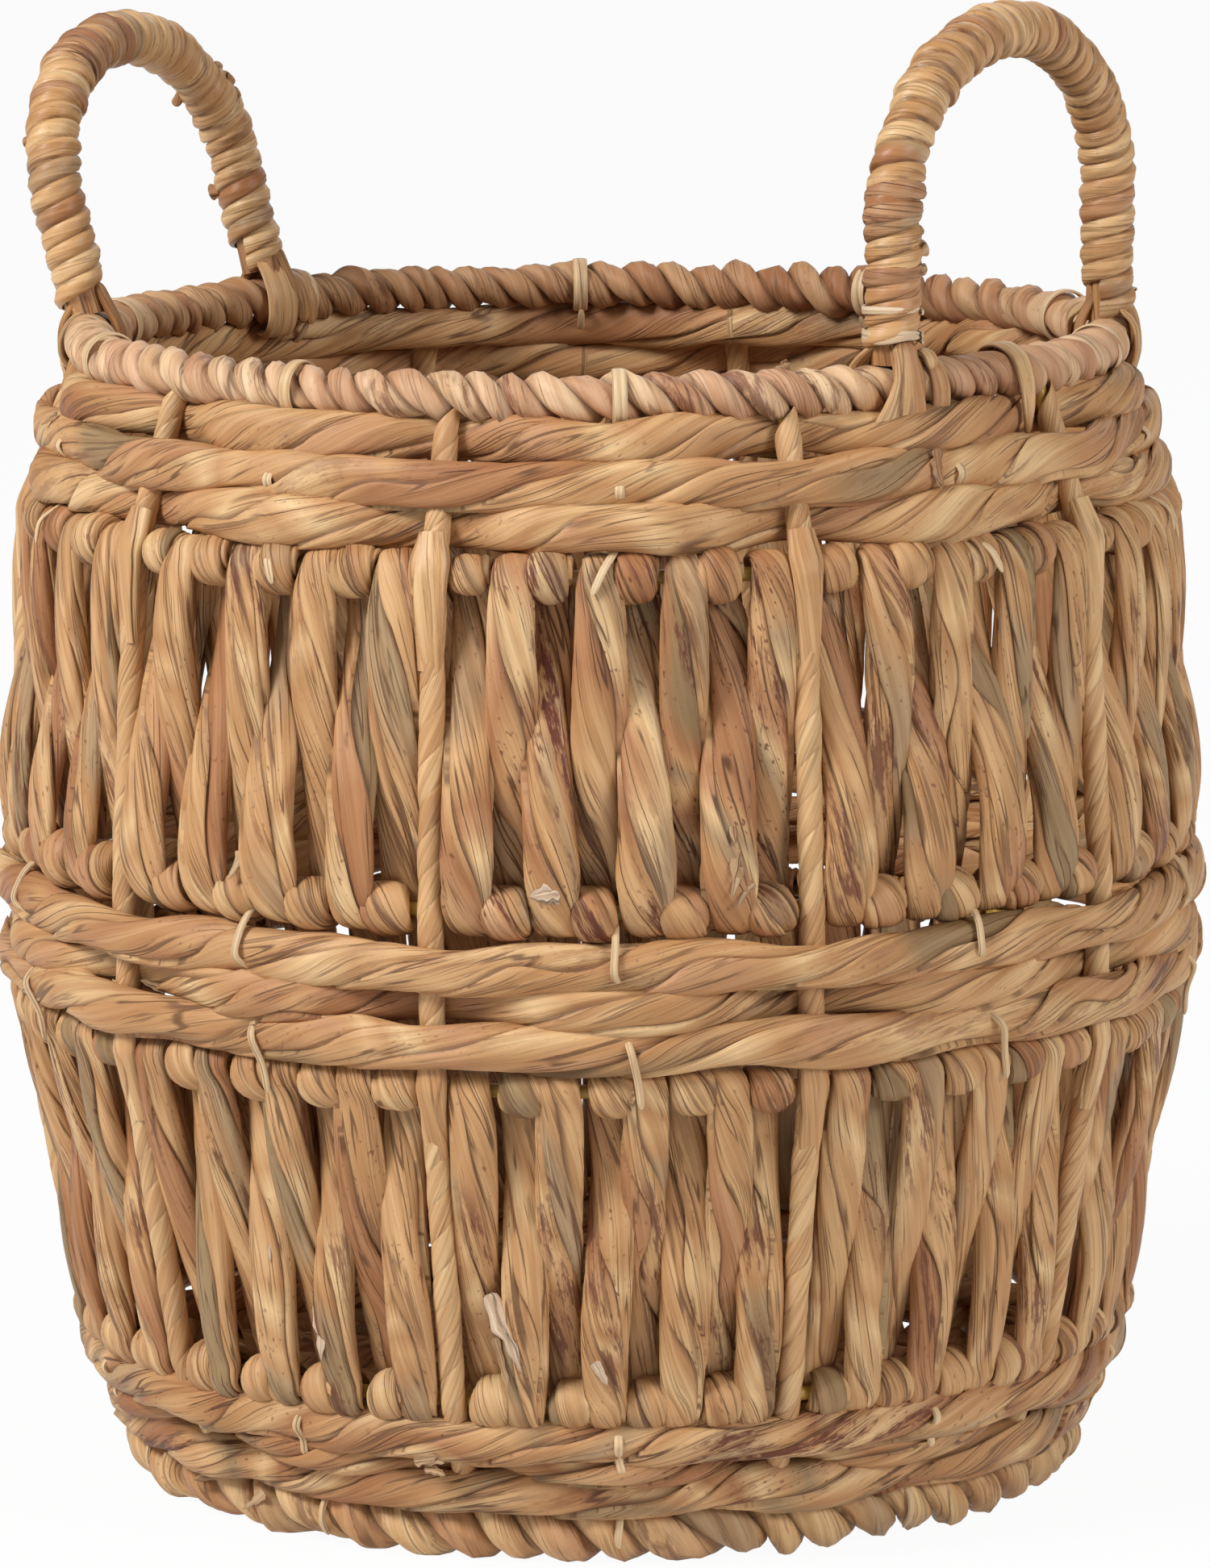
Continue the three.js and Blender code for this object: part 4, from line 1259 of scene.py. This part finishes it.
# %% Stubs on the handles
# Handle, share of the way along its hoop, lean from straight sideways in degrees, length and half
# width in mm: short ends of strip that stick out between the turns
STUBS = (
    ("left", 0.255, 35, 1.6, 2.6), ("left", 0.24, 20, 1.2, 2.0),
    ("left", 0.27, 50, 1.2, 1.6), ("left", 0.285, 228, 2.8, 1.7),
    ("left", 0.115, 188, 2.6, 2.4), ("left", 0.77, 178, 1.0, 1.6),
    ("right", 0.115, 12, 2.4, 2.4), ("right", 0.105, -10, 1.8, 1.8),
    ("right", 0.125, 30, 2.0, 1.6),
)
# The stubs stick out to the left and right of the view, which is 25 degrees round the basket
SIDEWAYS = outward(25 * DEG)


def add_stub(work, spec, seed):
    title, share, lean, length, half = spec
    rng = np.random.default_rng(seed)
    points = hoop(**HOOPS[title])[0]
    run = run_along(points)
    start = between(share * run[-1], run, points)
    way = SIDEWAYS * math.cos(lean * DEG) + UP * math.sin(lean * DEG)
    part = np.linspace(0, 1, 9)[:, None]
    bend = np.cross(way, SIDEWAYS + [0.0, 0.3, 0.5]) * 1.4 * MM * part ** 2
    line = start + way * (5.0 * MM + part * (length + 2.4) * MM) + bend
    ragged = half * MM * np.array([1.0, 1.1, 0.9, 1.0, 0.6]) * rng.uniform(0.8, 1.1, 5)
    ribbon(work, line, np.cross(way, np.cross(UP, SIDEWAYS)), ragged, 0.5 * MM, rng, twist=0.8,
           ends=1)


stubs = Leafwork()
for number, spec in enumerate(STUBS):
    add_stub(stubs, spec, 860 + number)
stubs.piece("handle_stubs", TORN_LEAF)

# %% [markdown]
# ## Stage and light
# The photograph has a white ground without a horizon, and soft light from the left and above. The
# view's distance, height and lens were fitted to the outline of the basket.

# %% Floor, light and camera
def stage_sheet(name, size, z, whiteness):
    mesh = bpy.data.meshes.new(name)
    corners = [(-size, -size, z), (size, -size, z), (size, size, z), (-size, size, z)]
    mesh.from_pydata(corners, [], [(0, 1, 2, 3)])
    finish, start, shader = new_finish(name)
    shader.inputs["Base Color"].default_value = (0.8, 0.8, 0.8, 1)
    shader.inputs["Roughness"].default_value = 0.9
    seen = start.node("LightPath") + start.node("LightPath", out="Is Glossy Ray")
    white = start.node("Emission", sockets={"Color": (1, 1, 1, 1), "Strength": 1.0})
    plain = Signal(start.tree, shader.outputs[0])
    both = start.node("MixShader", sockets={0: seen * whiteness, 1: plain, 2: white})
    both.to(start.tree.nodes["Material Output"].inputs["Surface"])
    mesh.materials.append(finish)
    return put(name, mesh)


def lamp(name, azimuth, elevation, distance, size, watts):
    data = bpy.data.lights.new(name, "AREA")
    data.size = size
    data.energy = watts
    made = put(name, data)
    a, e = azimuth * DEG, elevation * DEG
    way = np.array([math.sin(a) * math.cos(e), -math.cos(a) * math.cos(e), math.sin(e)])
    made.location = way * distance + np.array([0, 0, 0.18])
    made.rotation_euler = ((90 - elevation) * DEG, 0, a)


stage_sheet("pale_floor", 6.0, 0.0, 0.95)
world = bpy.data.worlds.new("white_room")
bpy.context.scene.world = world
world.use_nodes = True
background = world.node_tree.nodes["Background"].inputs
background["Color"].default_value = (1, 1, 1, 1)
background["Strength"].default_value = 0.22
VIEW_AZIMUTH = 25
lamp("soft_key", VIEW_AZIMUTH - 56, 40, 2.2, 0.7, 42)
lamp("soft_fill", VIEW_AZIMUTH + 50, 26, 2.6, 0.9, 27)
lamp("soft_back", VIEW_AZIMUTH + 160, 34, 2.8, 1.8, 13)

DISTANCE = 2.377
EYE_HEIGHT = 0.578
PITCH = 9.32
ROLL = 0.3
PHOTO_WIDTH = 1500
FOCAL_PIXELS = 10828
SHIFT_PIXELS = 6

camera_data = bpy.data.cameras.new("view")
camera_data.sensor_fit = "HORIZONTAL"
camera_data.sensor_width = 36
camera_data.lens = FOCAL_PIXELS / PHOTO_WIDTH * 36
camera_data.shift_x = SHIFT_PIXELS / PHOTO_WIDTH
camera_data.clip_start = 0.05
camera_data.clip_end = 50
camera = put("view", camera_data)
azimuth = VIEW_AZIMUTH * DEG
camera.location = (DISTANCE * math.sin(azimuth), -DISTANCE * math.cos(azimuth), EYE_HEIGHT)
aim = Euler(((90 - PITCH) * DEG, 0, azimuth)).to_matrix()
camera.rotation_euler = (aim @ Matrix.Rotation(-ROLL * DEG, 3, "Z")).to_euler()
bpy.context.scene.camera = camera
bpy.context.scene.view_settings.view_transform = "Standard"
